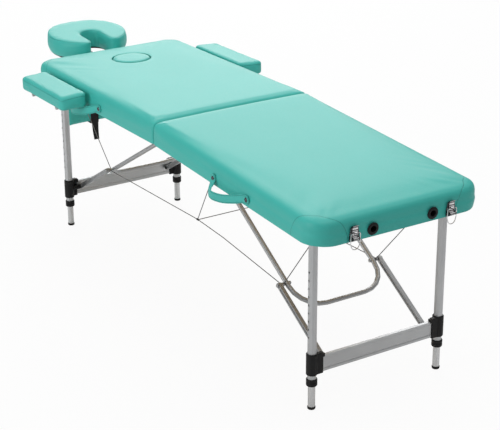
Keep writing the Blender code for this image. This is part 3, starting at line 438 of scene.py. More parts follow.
# %% [markdown]
# The soft pieces are modelled as by hand: a primitive, then extrude, inset and bevel in edit mode.
# Operators act on what is selected, so these helpers clear the selection, and then pick faces,
# edges or corners by where they lie.

# %% Modelling helpers
def clear():
    """Leave edit mode and let go of everything."""
    if bpy.context.object and bpy.context.object.mode != "OBJECT":
        bpy.ops.object.mode_set(mode="OBJECT")
    bpy.ops.object.select_all(action="DESELECT")


def edit(name):
    """Name the new primitive and open it in edit mode."""
    piece = bpy.context.object
    piece.name = name
    piece.data.name = name
    bpy.ops.object.mode_set(mode="EDIT")
    return piece


def pick(kind, test):
    """Select the faces, edges or corners whose middle passes a test."""
    bpy.ops.mesh.select_mode(type=kind)
    bpy.ops.mesh.select_all(action="DESELECT")
    shape = bmesh.from_edit_mesh(bpy.context.object.data)
    for part in {"FACE": shape.faces, "EDGE": shape.edges, "VERT": shape.verts}[kind]:
        corners = [part] if kind == "VERT" else part.verts
        middle = sum((corner.co for corner in corners), Vector()) / len(corners)
        part.select_set(bool(test(middle)))
    shape.select_flush_mode()
    bmesh.update_edit_mesh(bpy.context.object.data)


def close(piece):
    """Turn all faces outwards and leave edit mode."""
    bpy.ops.mesh.select_all(action="SELECT")
    bpy.ops.mesh.normals_make_consistent(inside=False)
    bpy.ops.object.mode_set(mode="OBJECT")
    return piece


def move_points(piece, rule):
    """Move each corner of a mesh by a rule from place to place."""
    for corner in piece.data.vertices:
        corner.co = rule(corner.co.copy())
    piece.data.update()


def apply(piece, kind, **settings):
    """Put a modifier on a piece and apply it."""
    bpy.context.view_layer.objects.active = piece
    step = piece.modifiers.new("step", kind)
    for key, value in settings.items():
        setattr(step, key, value)
    bpy.ops.object.modifier_apply(modifier=step.name)


def take(piece):
    """Select one piece and make it the active one."""
    clear()
    piece.select_set(True)
    bpy.context.view_layer.objects.active = piece


def smooth(piece):
    """One finer level of faces, shaded smooth."""
    apply(piece, "SUBSURF", levels=1, render_levels=1)
    take(piece)
    bpy.ops.object.shade_smooth()


def crisp(piece, angle=40):
    """Shade smooth, but leave edges sharper than an angle as they are."""
    take(piece)
    bpy.ops.object.shade_smooth_by_angle(angle=radians(angle))


def place(piece, turn, at, flip=1):
    """Turn a piece about Y, move it, and write that into its mesh."""
    turned = Matrix.Translation(at) @ Matrix.Rotation(turn, 4, "Y")
    piece.data.transform(turned @ Matrix.Diagonal((flip, 1, 1, 1)))
    if flip < 0:
        piece.data.flip_normals()
    piece.data.update()


def settle(piece, finish, body, slot, *stands_for):
    """Give a piece its finish and body and hide the solids it stands for; the slot is unused."""
    piece.data.materials.clear()
    piece.data.materials.append(finish)
    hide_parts(*stands_for)
    if body:
        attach(piece, body)
    print("%s: %d faces" % (piece.name, len(piece.data.polygons)))


def write_marks(piece, marks):
    """Store the distance to the seam, and the way along it, on every corner of a mesh."""
    for index, name in enumerate(("seam", "along")):
        layer = piece.data.attributes.new(name, "FLOAT", "POINT")
        layer.data.foreach_set("value", [mark[index] for mark in marks])


def seams(piece, rule):
    """Mark every corner of a mesh by a rule from its place."""
    write_marks(piece, [rule(corner.co) for corner in piece.data.vertices])


def soften(piece, width, segments):
    """Bevel the sharp edges of a piece."""
    apply(piece, "BEVEL", width=width, segments=segments, limit_method="ANGLE",
          angle_limit=radians(50))


print("helpers ready")

# %% [markdown]
# Padding is foam under a tight cover. A cloth simulation with some air pressure inside finds the
# shape: the mesh is rebuilt with even faces, blown up for a moment, and no point may move further
# than a cap. The part that is glued or stapled down is held.

# %% Stuffing
AIR_PRESSURE, BLOW_FRAMES = 4.0, 20


def stuff(piece, voxel, cap, held):
    """Rebuild a closed form with even faces and blow it up a little, as foam does a cover."""
    take(piece)
    piece.data.remesh_voxel_size = voxel
    bpy.ops.object.voxel_remesh()
    before = [corner.co.copy() for corner in piece.data.vertices]
    fixed = piece.vertex_groups.new(name="held")
    fixed.add([index for index, spot in enumerate(before) if held(spot)], 1.0, "REPLACE")
    cloth = piece.modifiers.new("cover", "CLOTH")
    cloth.settings.use_pressure = True
    cloth.settings.uniform_pressure_force = AIR_PRESSURE
    cloth.settings.effector_weights.gravity = 0.0
    cloth.settings.vertex_group_mass = "held"
    cloth.point_cache.frame_end = BLOW_FRAMES
    for step in range(1, BLOW_FRAMES + 1):
        bpy.context.scene.frame_set(step)
    bpy.ops.object.modifier_apply(modifier=cloth.name)
    bpy.context.scene.frame_set(1)
    most = 0.0
    for corner, start in zip(piece.data.vertices, before):
        way = corner.co - start
        most = max(most, way.length)
        if way.length > cap:
            corner.co = start + way * (cap / way.length)
    piece.vertex_groups.clear()
    print("%s: stuffed, widest move %.1f mm, cap %.1f mm"
          % (piece.name, most * 1000, cap * 1000))


def block(low, high):
    """A box between two corners, as a cutter."""
    clear()
    bpy.ops.mesh.primitive_cube_add(size=1)
    tool = edit("cutter")
    bpy.ops.transform.resize(value=[b - a for a, b in zip(low, high)])
    bpy.ops.transform.translate(value=[(a + b) / 2 for a, b in zip(low, high)])
    return close(tool)


def peg(start, end, radius, sides=32):
    """A round bar between two points, as a cutter."""
    clear()
    start, end = Vector(start), Vector(end)
    bpy.ops.mesh.primitive_cylinder_add(vertices=sides, radius=radius, depth=(end - start).length)
    tool = bpy.context.object
    turn = (end - start).to_track_quat("Z", "Y").to_matrix().to_4x4()
    tool.data.transform(Matrix.Translation((start + end) / 2) @ turn)
    return tool


def carve(piece, *tools):
    """Cut tools out of a piece and throw the tools away."""
    for tool in tools:
        apply(piece, "BOOLEAN", object=tool, operation="DIFFERENCE", solver="MANIFOLD")
        bpy.data.objects.remove(tool)


print("stuffing ready")

# %% [markdown]
# Each bed half is a slab of foam with a tight cover that wraps the wooden rails. Its end corners
# are round and have a sewn-in corner panel; where the halves meet they are square. A plane with
# two kinds of rounded corners is pulled up for the sides, and insets that rise ever less make the
# soft edge. The middle end leans so that the halves touch foam to foam. Last, the room for the
# rails and the deck is cut out from below, so that the frame shows as it does on the real table.

# %% Bed halves
HINGE = Vector((0.1524, 0.0, 0.590))
PEAK = radians(1.7)
HALF_LENGTH, HALF_WIDTH = 0.930, 0.300
END_CORNER, MIDDLE_CORNER = 0.068, 0.012
SKIRT_LOW, SKIRT_START = 0.0015, -0.012
SIDE_RISES = (0.0135, 0.015, 0.018, 0.019)
EDGE_INSETS = ((0.003, 0.0115), (0.006, 0.0075), (0.0095, 0.0042), (0.013, 0.0019),
               (0.040, 0.0009))
CROWN, CROWN_REACH = 0.0022, 0.2
DRAW_IN, TUCK, TUCK_TOP, LEAN_LENGTH = 0.004, 0.0048, 0.04, 0.19
FRAME_GAP, HOLE_ROLL = 0.0032, 0.0016
RAIL_END, RAIL_SIDE, RAIL_CORNER = 0.9238, 0.2938, 0.0618
DECK_TOP = 0.0506
PLUG_U, FACE_HOLE = 0.720, 0.0730
SOCKET_Y, SOCKET_Z = 0.1055, 0.026
ARM_ROD_U, ARM_ROD_Z = (0.521, 0.717), 0.0125
HANDLE_U, HANDLE_HALF_SPAN, HANDLE_Z = 0.482, 0.095, 0.024
CORNER_PANEL = (0.101, 0.102)


def bed_slab(name):
    """Foam of one half, lying along +X from the hinge."""
    clear()
    bpy.ops.mesh.primitive_plane_add(size=1)
    slab = edit(name)
    bpy.ops.transform.resize(value=(HALF_LENGTH, 2 * HALF_WIDTH, 1))
    bpy.ops.transform.translate(value=(HALF_LENGTH / 2, 0, SKIRT_START))
    pick("VERT", lambda at: at.x > HALF_LENGTH / 2)
    bpy.ops.mesh.bevel(offset=END_CORNER, segments=12, affect="VERTICES")
    pick("FACE", lambda at: True)
    for rise in SIDE_RISES:
        bpy.ops.mesh.extrude_region_move(TRANSFORM_OT_translate={"value": (0, 0, rise)})
    for inset, rise in EDGE_INSETS:
        bpy.ops.mesh.inset(thickness=inset, depth=rise)
    pick("EDGE", lambda at: at.x < 0.03 and abs(HALF_WIDTH - abs(at.y) - at.x) < 0.0001)
    bpy.ops.mesh.bevel(offset=MIDDLE_CORNER, segments=3, affect="EDGES")
    return close(slab)


def rail_room():
    """Cutter in the shape of the wooden frame with its deck."""
    clear()
    bpy.ops.mesh.primitive_plane_add(size=1)
    tool = edit("cutter")
    bpy.ops.transform.resize(value=(RAIL_END - FRAME_GAP, 2 * RAIL_SIDE, 1))
    bpy.ops.transform.translate(value=((RAIL_END + FRAME_GAP) / 2, 0, -0.05))
    pick("VERT", lambda at: at.x > HALF_LENGTH / 2)
    bpy.ops.mesh.bevel(offset=RAIL_CORNER, segments=12, affect="VERTICES")
    pick("FACE", lambda at: True)
    bpy.ops.mesh.extrude_region_move(TRANSFORM_OT_translate={"value": (0, 0, 0.05 + DECK_TOP)})
    return close(tool)


def drawn_in(at):
    """Pull the sides in between the corners, tuck the corners under, and lean the middle end."""
    u, v = at.x - (HALF_LENGTH - END_CORNER), abs(at.y) - (HALF_WIDTH - END_CORNER)
    if u > 0 and v > 0 and at.z < TUCK_TOP:
        low = (TUCK_TOP - at.z) / TUCK_TOP
        pull = TUCK * low ** 2 * 2 * u * v / (u * u + v * v) / hypot(u, v)
        at.x -= u * pull
        at.y -= v * pull * (1 if at.y > 0 else -1)
    part = min(max(at.x / (HALF_LENGTH - END_CORNER), 0.0), 1.0)
    at.y -= (at.y / HALF_WIDTH) * DRAW_IN * sin(pi * part)
    if at.x < LEAN_LENGTH:
        slack = 1.0 - at.x / LEAN_LENGTH
        at.x -= 0.65 * at.x * slack ** 2 + (at.z * tan(PEAK) - 0.0003) * slack
    return at


def crowned(at):
    """Let the top rise towards its middle."""
    if at.z > 0.074:
        depth = min(HALF_WIDTH - abs(at.y), HALF_LENGTH - at.x, CROWN_REACH)
        at.z += CROWN * min(max(depth / CROWN_REACH, 0.0), 1.0)
    return at


def rolled_hole(at):
    """Let the top turn down into the face hole."""
    near = 1.0 - (hypot(at.x - PLUG_U, at.y) - FACE_HOLE) / 0.014
    if at.z > 0.06 and near > 0:
        at.z -= HOLE_ROLL * min(near, 1.0) ** 2
    return at


def corner_panel(at):
    """Distance to the arched seam of the corner panel, and the way along it."""
    across = abs(at.y)
    u, v = at.x - (HALF_LENGTH - END_CORNER), across - (HALF_WIDTH - END_CORNER)
    if u < 0:
        way, depth = u, END_CORNER - v
    elif v < 0:
        way, depth = END_CORNER * pi / 2 - v, END_CORNER - u
    else:
        way, depth = END_CORNER * atan2(u, v), END_CORNER - hypot(u, v)
    depth = max(depth, 0.0)
    height = at.z - SKIRT_LOW + depth ** 2 / (depth + 0.0225)
    way -= END_CORNER * pi / 4 - 0.005
    wide, tall = CORNER_PANEL
    reach = hypot(way / wide, height / tall)
    return (reach - 1.0) * 0.095, atan2(height / tall, way / wide) * 0.095


for half, side in (("head", -1), ("foot", 1)):
    cushion = bed_slab(half + "_cushion_cover")
    move_points(cushion, drawn_in)
    stuff(cushion, 0.008, 0.003, lambda at: at.z < 0.030 or at.x < 0.02)
    move_points(cushion, crowned)
    smooth(cushion)
    carve(cushion, block((-0.1, -0.4, -0.05), (1.1, 0.4, SKIRT_LOW)), rail_room(),
          block((-0.02, -RAIL_SIDE, -0.05), (0.02, RAIL_SIDE, 0.0476)))
    for y in (-1, 1):
        wide = 0.010 if side < 0 else 0.0133
        carve(cushion, peg((0.86, y * SOCKET_Y, SOCKET_Z), (0.96, y * SOCKET_Y, SOCKET_Z), wide))
        screw_u = HANDLE_U + y * HANDLE_HALF_SPAN
        carve(cushion, peg((screw_u, -0.24, HANDLE_Z), (screw_u, -0.32, HANDLE_Z), 0.0029))
        for u in ARM_ROD_U if side < 0 else ():
            carve(cushion, peg((u, y * 0.26, ARM_ROD_Z), (u, y * 0.32, ARM_ROD_Z), 0.0066))
    if side < 0:
        move_points(cushion, rolled_hole)
        carve(cushion, peg((PLUG_U, 0, 0.02), (PLUG_U, 0, 0.12), FACE_HOLE, 96))
    crisp(cushion)
    seams(cushion, corner_panel)
    place(cushion, side * PEAK, HINGE, side)
    settle(cushion, VINYL, half + "_half", "mint_vinyl", half + "_cushion")

# %% [markdown]
# A black disc with a raised rim closes the back of each socket sleeve in the foot end, so one
# looks into a dark cup: a dark piece put in as painted shade deep in the socket.

# %% Socket shade discs
CAP_U, CAP_RADIUS = 0.8984, 0.0118
for name, y in (("near", -1), ("far", 1)):
    clear()
    bpy.ops.mesh.primitive_circle_add(vertices=32, radius=CAP_RADIUS, fill_type="NGON")
    cap = edit("foot_%s_socket_shade_disc" % name)
    bpy.ops.mesh.extrude_region_move(TRANSFORM_OT_translate={"value": (0, 0, 0.0008)})
    bpy.ops.mesh.inset(thickness=0.0028, depth=-0.0004)
    close(cap)
    behind = Matrix.Translation((CAP_U, y * SOCKET_Y, SOCKET_Z))
    cap.data.transform(behind @ Matrix.Rotation(pi / 2, 4, "Y"))
    crisp(cap)
    place(cap, PEAK, HINGE)
    cap.data.materials.append(PLASTIC)
    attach(cap, "foot_half")
print("socket caps: 2")

# %% [markdown]
# The plug is a stuffed disc that fills the face hole and stands a little proud. A circle is pulled
# up and inset step by step; its seam runs round just inside the edge.

# %% Face plug
PLUG_RADIUS, PLUG_LOW, PLUG_EDGE, PLUG_SEAM = 0.0695, 0.0512, 0.066, 0.0655
PLUG_SIDES = ((1.014, 0.008), (1.010, 0.009))
PLUG_INSETS = ((0.0010, 0.0116), (0.0032, 0.0040), (0.0110, 0.0016), (0.0250, 0.0008))
clear()
bpy.ops.mesh.primitive_circle_add(vertices=48, radius=PLUG_RADIUS, fill_type="NGON")
plug = edit("face_plug_cover")
bpy.ops.transform.translate(value=(PLUG_U, 0, PLUG_LOW))
for wide, rise in PLUG_SIDES:
    bpy.ops.mesh.extrude_region_move(TRANSFORM_OT_translate={"value": (0, 0, rise)})
    bpy.ops.transform.resize(value=(wide, wide, 1), center_override=(PLUG_U, 0, 0))
for inset, rise in PLUG_INSETS:
    bpy.ops.mesh.inset(thickness=inset, depth=rise)
close(plug)
stuff(plug, 0.004, 0.0012, lambda at: at.z < PLUG_EDGE)
smooth(plug)
seams(plug, lambda at: (PLUG_SEAM - hypot(at.x - PLUG_U, at.y) if at.z > PLUG_EDGE else 0.05,
                        atan2(at.y, at.x - PLUG_U) * 0.066))
place(plug, -PEAK, HINGE, -1)
settle(plug, VINYL, "plug", "mint_vinyl", "face_plug")

# %% [markdown]
# The headrest is a round cushion with a slot for the face. A disc gets the slot cut out and its two
# tips rounded, the stuffing fills it out, and smoothing softens the edges. Its top slopes down to
# the tips. The cover is drawn in below and hangs over the edge of the plate. The top panel meets the
# side in a seam, which follows the edge at a few millimetres.

# %% Headrest cushion
HEADREST_U, HEADREST_RADIUS, TIP_RADIUS = 1.094, 0.156, 0.026
SLOT_U, SLOT_HALF = 1.060, 0.037
HEADREST_LOW, HEADREST_TOP = 0.0366, 0.118
PLATE_TOP, PLATE_RADIUS = 0.0438, 0.1385
DISC_RADIUS, SLOT_CUT = HEADREST_RADIUS - 0.0025, SLOT_HALF + 0.002
TIP_DROP, SLOPE_START, SLOPE_LENGTH = 0.020, 1.200, 0.250
RIM_PULL, RIM_START = 0.012, 0.11


def slot_depth(at):
    """How far a point lies inside the edge of the cushion, seen from above."""
    reach = hypot(at.x - SLOT_U, at.y) if at.x > SLOT_U else abs(at.y)
    return min(HEADREST_RADIUS - hypot(at.x - HEADREST_U, at.y), reach - SLOT_HALF)


def lowered_tips(at):
    """Let the two tips fall off towards the bed, and draw the cover in at the bottom."""
    part = min(max((SLOPE_START - at.x) / SLOPE_LENGTH, 0.0), 1.0)
    height = max(at.z - HEADREST_LOW, 0.0) / (HEADREST_TOP - HEADREST_LOW)
    at.z -= TIP_DROP * part * height
    low = max(1.0 - height / 0.5, 0.0)
    rim = hypot(at.x - HEADREST_U, at.y)
    if rim > RIM_START:
        pull = RIM_PULL * low ** 2 * min((rim - RIM_START) / 0.03, 1.0)
        at.x -= (at.x - HEADREST_U) / rim * pull
        at.y -= at.y / rim * pull
    return at


def tip_cutter(y):
    """What has to go so that one tip is round: a block less a round bar."""
    across = SLOT_CUT + TIP_RADIUS
    reach = (DISC_RADIUS - TIP_RADIUS) ** 2 - across ** 2
    u = HEADREST_U - reach ** 0.5
    outer = across + TIP_RADIUS * across / (HEADREST_RADIUS - TIP_RADIUS)
    low, high = sorted((y * 0.03, y * outer))
    tool = block((0.90, low, 0), (u, high, 0.2))
    carve(tool, peg((u, y * across, -0.1), (u, y * across, 0.3), TIP_RADIUS, 64))
    return tool


clear()
bpy.ops.mesh.primitive_cylinder_add(vertices=96, radius=DISC_RADIUS,
                                    depth=HEADREST_TOP - HEADREST_LOW - 0.002)
headrest = edit("headrest_cushion_cover")
bpy.ops.transform.translate(value=(HEADREST_U, 0, (HEADREST_LOW + HEADREST_TOP) / 2 - 0.0005))
close(headrest)
carve(headrest, block((0.90, -SLOT_CUT, 0), (SLOT_U, SLOT_CUT, 0.2)),
      peg((SLOT_U, 0, 0), (SLOT_U, 0, 0.2), SLOT_CUT, 48), tip_cutter(-1), tip_cutter(1))
stuff(headrest, 0.0045, 0.0032, lambda at: at.z < HEADREST_LOW + 0.012)
apply(headrest, "SMOOTH", factor=0.5, iterations=12)
move_points(headrest, lowered_tips)
smooth(headrest)
carve(headrest, peg((HEADREST_U, 0, 0), (HEADREST_U, 0, PLATE_TOP), PLATE_RADIUS, 96))
crisp(headrest)
seams(headrest, lambda at: (at.z - HEADREST_TOP + slot_depth(at) + 0.0085,
                            atan2(at.y, at.x - HEADREST_U) * 0.12))
place(headrest, -PEAK, HINGE, -1)
settle(headrest, VINYL, "headrest", "mint_vinyl", "headrest_cushion")

# %% [markdown]
# The armrests and the hand pallet are boards with foam and a cover. All three are boxes whose
# corners and edges are bevelled before they are stuffed, so one function makes them.

# %% Armrests and hand pallet
ARM_INNER, ARM_OUTER = 0.307, 0.412
ARM_START, ARM_END, ARM_LOW, ARM_TOP = 0.455, 0.804, 0.0135, 0.0680
ARM_SLOPE, ARM_BEND = 0.006, 0.030
STRIP_INNER, STRIP_OUTER, STRIP_TOP, STRIP_OVER = 0.349, 0.376, 0.0196, 0.013
BOARD_VOXEL = 0.005


def padded_board(name, low, high, corner, edge, cap):
    """Stuffed board between two corners; its upright edges are rounder than the others."""
    shrink = 0.6 * cap
    clear()
    bpy.ops.mesh.primitive_cube_add(size=1)
    board = edit(name)
    bpy.ops.transform.resize(value=[b - a - 2 * shrink for a, b in zip(low, high)])
    bpy.ops.transform.translate(value=[(a + b) / 2 for a, b in zip(low, high)])
    middle = (low[2] + high[2]) / 2
    pick("EDGE", lambda at: abs(at.z - middle) < 0.001)
    bpy.ops.mesh.bevel(offset=corner, segments=5, affect="EDGES")
    close(board)
    soften(board, edge, 3)
    stuff(board, BOARD_VOXEL, cap, lambda at: False)
    smooth(board)

    def rim(at):
        depth = min(at.x - low[0], high[0] - at.x, at.y - low[1], high[1] - at.y)
        return at.z - high[2] + max(depth, 0.0) + 0.8 * edge, at.x + at.y

    seams(board, rim)
    return board


def sloped_rest(at):
    """Let the top of an armrest fall off a little towards its outer edge."""
    part = min(max((abs(at.y) - ARM_INNER) / (ARM_OUTER - ARM_INNER), 0.0), 1.0)
    at.z -= ARM_SLOPE * part * min(max((at.z - ARM_BEND) / ARM_BEND, 0.0), 1.0)
    return at


for name, y in (("near", -1), ("far", 1)):
    across = sorted((y * ARM_INNER, y * ARM_OUTER))
    strip = sorted((y * STRIP_INNER, y * STRIP_OUTER))
    rest = padded_board("armrest_%s_cover" % name, (ARM_START, across[0], ARM_LOW),
                        (ARM_END, across[1], ARM_TOP), 0.022, 0.009, 0.002)
    move_points(rest, sloped_rest)
    carve(rest, block((ARM_ROD_U[0] - STRIP_OVER, strip[0], 0.0),
                      (ARM_ROD_U[1] + STRIP_OVER, strip[1], STRIP_TOP)))
    for u in ARM_ROD_U:
        carve(rest, peg((u, y * 0.29, ARM_ROD_Z), (u, y * 0.43, ARM_ROD_Z), 0.0074))
    crisp(rest)
    place(rest, -PEAK, HINGE, -1)
    settle(rest, VINYL, "armrest_" + name, "mint_vinyl", "armrest_%s_pad" % name)

CROSS_ROD = HINGE + Matrix.Rotation(-PEAK, 3, "Y") @ Vector((-1.060, 0, 0.026))
PALLET_LOW, PALLET_HIGH = (-0.026, -0.138, -0.2726), (0.026, 0.138, -0.1426)
pallet = padded_board("hand_pallet_cover", PALLET_LOW, PALLET_HIGH, 0.016, 0.010, 0.003)
place(pallet, 0.0, CROSS_ROD)
settle(pallet, VINYL, "pallet", "mint_vinyl", "pallet_pad")

# %% [markdown]
# Straps are flat bands. A grid is laid along a line of points, with a width vector at each point,
# and gets its thickness from Solidify. A smooth line through a few points makes the route.

# %% Straps
STITCH_INSET = 0.0030
STRAP_Y, STRAP_HALF, STRAP_THICK = -0.014, 0.0165, 0.0018
ROD_LOOP = 0.0067


def eased(points, steps):
    """Smooth line through points, with so many steps between two of them."""
    rows = [Vector(point) for point in points]
    rows = [2 * rows[0] - rows[1]] + rows + [2 * rows[-1] - rows[-2]]
    line = []
    for before, start, end, after in zip(rows, rows[1:], rows[2:], rows[3:]):
        for step in range(steps):
            t = step / steps
            bend = 2 * before - 5 * start + 4 * end - after
            twist = 3 * start - before - 3 * end + after
            line.append(0.5 * (2 * start + t * (end - before) + t ** 2 * bend + t ** 3 * twist))
    return line + [rows[-2]]


def ways_along(spots):
    """How far along a line of spots each one lies."""
    ways = [0.0]
    for before, after in zip(spots, spots[1:]):
        ways.append(ways[-1] + (after - before).length)
    return ways


def weld(piece, gap):
    """Open a piece in edit mode and join corners that lie closer than a gap."""
    take(piece)
    bpy.ops.object.mode_set(mode="EDIT")
    bpy.ops.mesh.select_all(action="SELECT")
    bpy.ops.mesh.remove_doubles(threshold=gap)


def band(name, spots, reaches, thickness, rows=6):
    """Flat strap along a line of spots; reaches are the vectors from its middle to its edge."""
    count = len(spots) - 1
    clear()
    bpy.ops.mesh.primitive_grid_add(x_subdivisions=count, y_subdivisions=rows, size=2)
    strap = edit(name)
    close(strap)
    ways = ways_along(spots)
    marks = []
    for corner in strap.data.vertices:
        step = round((corner.co.x + 1) / 2 * count)
        across = corner.co.y
        corner.co = spots[step] + reaches[step] * across
        marks.append(((1.0 - abs(across)) * reaches[step].length - STITCH_INSET, ways[step]))
    write_marks(strap, marks)
    weld(strap, 0.00005)
    close(strap)
    apply(strap, "SOLIDIFY", thickness=thickness, offset=0.0)
    soften(strap, 0.3 * thickness, 2)
    crisp(strap)
    return strap


reach, low, shoulder = 0.0274, PALLET_LOW[2] - 0.0014, PALLET_HIGH[2]
crest = [(ROD_LOOP * cos(radians(angle)), 0, ROD_LOOP * sin(radians(angle)))
         for angle in range(15, 166, 15)]
route = [(0, 0, low), (reach - 0.008, 0, low), (reach - 0.002, 0, low + 0.002),
         (reach, 0, low + 0.008), (reach, 0, low + 0.06), (reach, 0, shoulder - 0.008),
         (reach - 0.0008, 0, shoulder), (0.0200, 0, -0.102), (0.0130, 0, -0.052)]
loop = eased(route + crest + [(-x, y, z) for x, y, z in route[::-1]], 4)
sling = band("pallet_strap", [spot + Vector((0, STRAP_Y, 0)) for spot in loop],
             [Vector((0, STRAP_HALF, 0))] * len(loop), STRAP_THICK)
place(sling, 0.0, CROSS_ROD)
settle(sling, WEBBING, "pallet", "webbing", "pallet_sling")
front = reach + 0.0022
drop = eased([(front, 0, low + 0.044), (front, 0, low + 0.010), (front - 0.001, 0.001, low - 0.030),
              (front + 0.002, 0.003, low - 0.068)], 8)
narrowing = [Vector((0, STRAP_HALF - 0.006 * step / len(drop), 0)) for step in range(len(drop))]
tail = band("pallet_strap_tail", [spot + Vector((0, STRAP_Y, 0)) for spot in drop], narrowing,
            STRAP_THICK)
place(tail, 0.0, CROSS_ROD)
settle(tail, WEBBING, "pallet", "webbing", "pallet_sling")

# %% [markdown]
# A carry handle is a stitched band of the cover material, screwed to the side through its two round
# ends. It is longer than its span: it drops out of the first end and swings away from the side.

# %% Handles
HANDLE_HALF_WIDTH, HANDLE_THICK, HANDLE_GAP = 0.0135, 0.0028, 0.0026
SPAN = 2 * HANDLE_HALF_SPAN
HANDLE_ROUTE = [(-0.002, 0.0, 0.014), (0.0, 0.0, 0.0), (0.005, 0.008, -0.015),
                (0.014, 0.020, -0.028), (0.034, 0.028, -0.036), (0.085, 0.023, -0.030),
                (0.135, 0.012, -0.016), (SPAN - 0.022, 0.003, -0.004), (SPAN, 0.0, 0.0),
                (SPAN + 0.014, 0.0, 0.003)]
SCREW_RADIUS, SCREW_OUT = 0.0074, 0.0041
SCREW_INSETS = ((0.0010, 0.0009), (0.0012, 0.0002), (0.0007, -0.0012), (0.0002, 0.0014),
                (0.0011, 0.0006), (0.0014, 0.0002), (0.0004, -0.0010))


def carry_handle(name, side):
    """Band along the route, with round ends."""
    line = []
    for v, out, rise in eased(HANDLE_ROUTE, 6):
        x = side * HANDLE_U - HANDLE_HALF_SPAN + v
        line.append(Vector((x, -HALF_WIDTH - HANDLE_GAP - max(out, 0.0), HANDLE_Z + rise)))
    ways = ways_along(line)
    reaches = []
    for step in range(len(line)):
        tangent = line[min(step + 1, len(line) - 1)] - line[max(step - 1, 0)]
        end = min(ways[step], ways[-1] - ways[step]) / HANDLE_HALF_WIDTH
        wide = max(1.0 - max(1.0 - end, 0.0) ** 2, 0.06) ** 0.5
        reaches.append(tangent.cross(Vector((0, 1, 0))).normalized() * HANDLE_HALF_WIDTH * wide)
    return band(name, line, reaches, HANDLE_THICK, 8)


def cup_screw(name, x):
    """Screw in a cup washer: a disc whose middle is pressed in, with a round head in it."""
    clear()
    bpy.ops.mesh.primitive_circle_add(vertices=28, radius=SCREW_RADIUS, fill_type="NGON")
    screw = edit(name)
    bpy.ops.mesh.extrude_region_move(TRANSFORM_OT_translate={"value": (0, 0, 0.0010)})
    for inset, rise in SCREW_INSETS:
        bpy.ops.mesh.inset(thickness=inset, depth=rise)
    close(screw)
    spot = Matrix.Translation((x, -HALF_WIDTH - SCREW_OUT, HANDLE_Z))
    screw.data.transform(spot @ Matrix.Rotation(pi / 2, 4, "X"))
    crisp(screw, 30)
    return screw


for half, side in (("head", -1), ("foot", 1)):
    handle = carry_handle(half + "_handle_band", side)
    place(handle, side * PEAK, HINGE)
    settle(handle, VINYL, half + "_half", "mint_vinyl", half + "_handle")
    for end, offset in (("first", -HANDLE_HALF_SPAN), ("second", HANDLE_HALF_SPAN)):
        screw = cup_screw("%s_handle_%s_screw" % (half, end), side * HANDLE_U + offset)
        place(screw, side * PEAK, HINGE)
        settle(screw, DARK_CHROME_AND_SHADE, half + "_half", "steel", half + "_handle")

# %% [markdown]
# The wire ropes are laid from strands, which show as a slanting ribbing. A grid is rolled into a
# tube whose radius swells and shrinks round it, and that pattern turns along the wire.
# The runs to the brace joints go from a half to its brace, and are tied to neither. The knots hang
# from the hinge and go with the head half, so each wire of the foot half has a first run that spans
# the fold of the table.

# %% Wire ropes
WIRE_RADIUS, STRAND_TURN, WIRE_STEP = 0.0015, 0.014, 0.0018
CRIMP_STEPS = ((1.25, 0.10), (1.0, 0.38), (0.84, 0.10), (1.0, 0.10), (1.19, 0.10), (1.0, 0.24),
               (0.84, 0.10), (1.0, 0.10), (1.19, 0.10), (1.0, 0.38), (0.80, 0.10))


def rope(name, start, end):
    """Stranded wire from one point to another."""
    start, end = Vector(start), Vector(end)
    length = (end - start).length
    count = round(length / WIRE_STEP)
    turn = (end - start).to_track_quat("Z", "Y").to_matrix()
    clear()
    bpy.ops.mesh.primitive_grid_add(x_subdivisions=count, y_subdivisions=12, size=2)
    wire = edit(name)
    close(wire)

    def rolled(at):
        along, angle = (at.x + 1) / 2 * length, (at.y + 1) * pi
        wide = WIRE_RADIUS * (0.84 + 0.16 * abs(cos(3 * angle + 2 * pi * along / STRAND_TURN)))
        return start + turn @ Vector((wide * cos(angle), wide * sin(angle), along))

    move_points(wire, rolled)
    weld(wire, 0.00002)
    bpy.ops.mesh.fill_holes(sides=16)
    close(wire)
    crisp(wire, 60)
    return wire


def ring(name, centre, bore, outer, half):
    """Eyelet on a bolt that lies along Y: a disc with its middle taken out."""
    clear()
    bpy.ops.mesh.primitive_cylinder_add(vertices=24, radius=outer, depth=2 * half)
    eyelet = edit(name)
    pick("FACE", lambda at: abs(abs(at.z) - half) < 0.00001)
    bpy.ops.mesh.inset(thickness=outer - bore)
    bpy.ops.mesh.bridge_edge_loops()
    close(eyelet)
    eyelet.data.transform(Matrix.Translation(centre) @ Matrix.Rotation(pi / 2, 4, "X"))
    soften(eyelet, 0.0005, 2)
    crisp(eyelet)
    return eyelet


def crimp(name, middle, way, half=0.0075, radius=0.0028):
    """Sleeve pressed on the wire: a short tube with two squeezed waists and soft ends."""
    clear()
    bpy.ops.mesh.primitive_circle_add(vertices=20, radius=0.8 * radius, fill_type="NGON")
    sleeve = edit(name)
    bpy.ops.transform.translate(value=(0, 0, -half))
    for wide, rise in CRIMP_STEPS:
        lift = (0, 0, rise * 2 * half / 1.7)
        bpy.ops.mesh.extrude_region_move(TRANSFORM_OT_translate={"value": lift})
        bpy.ops.transform.resize(value=(wide, wide, 1), center_override=(0, 0, 0))
    close(sleeve)
    turn = Vector(way).to_track_quat("Z", "Y").to_matrix().to_4x4()
    sleeve.data.transform(Matrix.Translation(middle) @ turn)
    crisp(sleeve)
    return sleeve


def in_half(u, y, z, side):
    """Point of a half in the table's frame."""
    return HINGE + Matrix.Rotation(side * PEAK, 3, "Y") @ Vector((side * u, y, z))


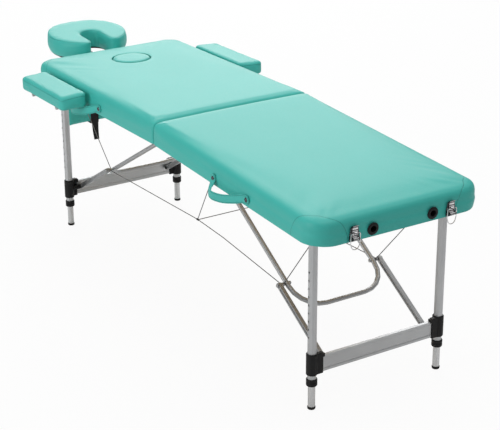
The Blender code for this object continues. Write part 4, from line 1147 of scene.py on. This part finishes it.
KNOT_Y, KNOT_Z = 0.141, 0.293
JOINT_U, JOINT_Z = 0.5865, -0.2807
PIN_U, PIN_Z = 0.824, 0.020
LONG_WIRE_Y, END_WIRE_Y, ANCHOR_Y = 0.1785, 0.1730, 0.1945
KNOT_REACH, JOINT_GAP, ANCHOR_GAP, CRIMP_PLACE = 0.004, 0.0055, 0.0058, 0.012
BEND_SHARE, BEND_IN = 0.3, 0.006
for name, y in (("near", -1), ("far", 1)):
    knot = Vector((HINGE.x, y * KNOT_Y, KNOT_Z))
    up = rope(name + "_middle_wire", knot, (HINGE.x - 0.0035, y * 0.012, HINGE.z - 0.008))
    settle(up, WIRE_STEEL, "head_half", "steel", "wire_ropes")
    sleeve = crimp(name + "_knot_crimp", knot, (1, 0, 0), 0.0055, 0.0032)
    settle(sleeve, PLASTIC, "head_half", "steel", "wire_ropes")
    for half, side in (("head", -1), ("foot", 1)):
        first = in_half(JOINT_U, y * LONG_WIRE_Y, JOINT_Z, side)
        second = in_half(JOINT_U, y * END_WIRE_Y, JOINT_Z, side)
        anchor = in_half(PIN_U, y * ANCHOR_Y, PIN_Z, side)
        start = knot + Vector((side * KNOT_REACH, 0, 0))
        long_end = first + (start - first).normalized() * JOINT_GAP
        if half == "foot":
            bend = start.lerp(long_end, BEND_SHARE) - Vector((0, y * BEND_IN, 0))
            first_run = rope("foot_%s_knot_wire" % name, start, bend)
            settle(first_run, WIRE_STEEL, None, "steel", "wire_ropes")
            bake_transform(first_run)
            start = bend
        long_wire = rope("%s_%s_long_wire" % (half, name), start, long_end)
        settle(long_wire, WIRE_STEEL, None, "steel", "wire_ropes")
        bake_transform(long_wire)
        top = anchor + (second - anchor).normalized() * ANCHOR_GAP
        foot = second + (anchor - second).normalized() * JOINT_GAP
        end_wire = rope("%s_%s_end_wire" % (half, name), top, foot)
        settle(end_wire, WIRE_STEEL, None, "steel", "wire_ropes")
        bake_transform(end_wire)
        way = (foot - top).normalized()
        sleeve = crimp("%s_%s_end_crimp" % (half, name), top + way * CRIMP_PLACE, way)
        settle(sleeve, PLASTIC, half + "_half", "steel", "wire_ropes")
        eyelet = ring("%s_%s_joint_eyelet" % (half, name), (first + second) / 2,
                      0.0036, 0.0062, 0.0046)
        settle(eyelet, STEEL, half + "_brace_u", "steel", "wire_ropes")
        eyelet = ring("%s_%s_anchor_eyelet" % (half, name), anchor, 0.0046, 0.0072, 0.0015)
        settle(eyelet, STEEL, half + "_half", "steel", "wire_ropes")
cross_z = KNOT_Z - 0.0011
across = rope("cross_wire", (HINGE.x, -KNOT_Y, cross_z), (HINGE.x, KNOT_Y, cross_z))
settle(across, WIRE_STEEL, "head_half", "steel", "wire_ropes")
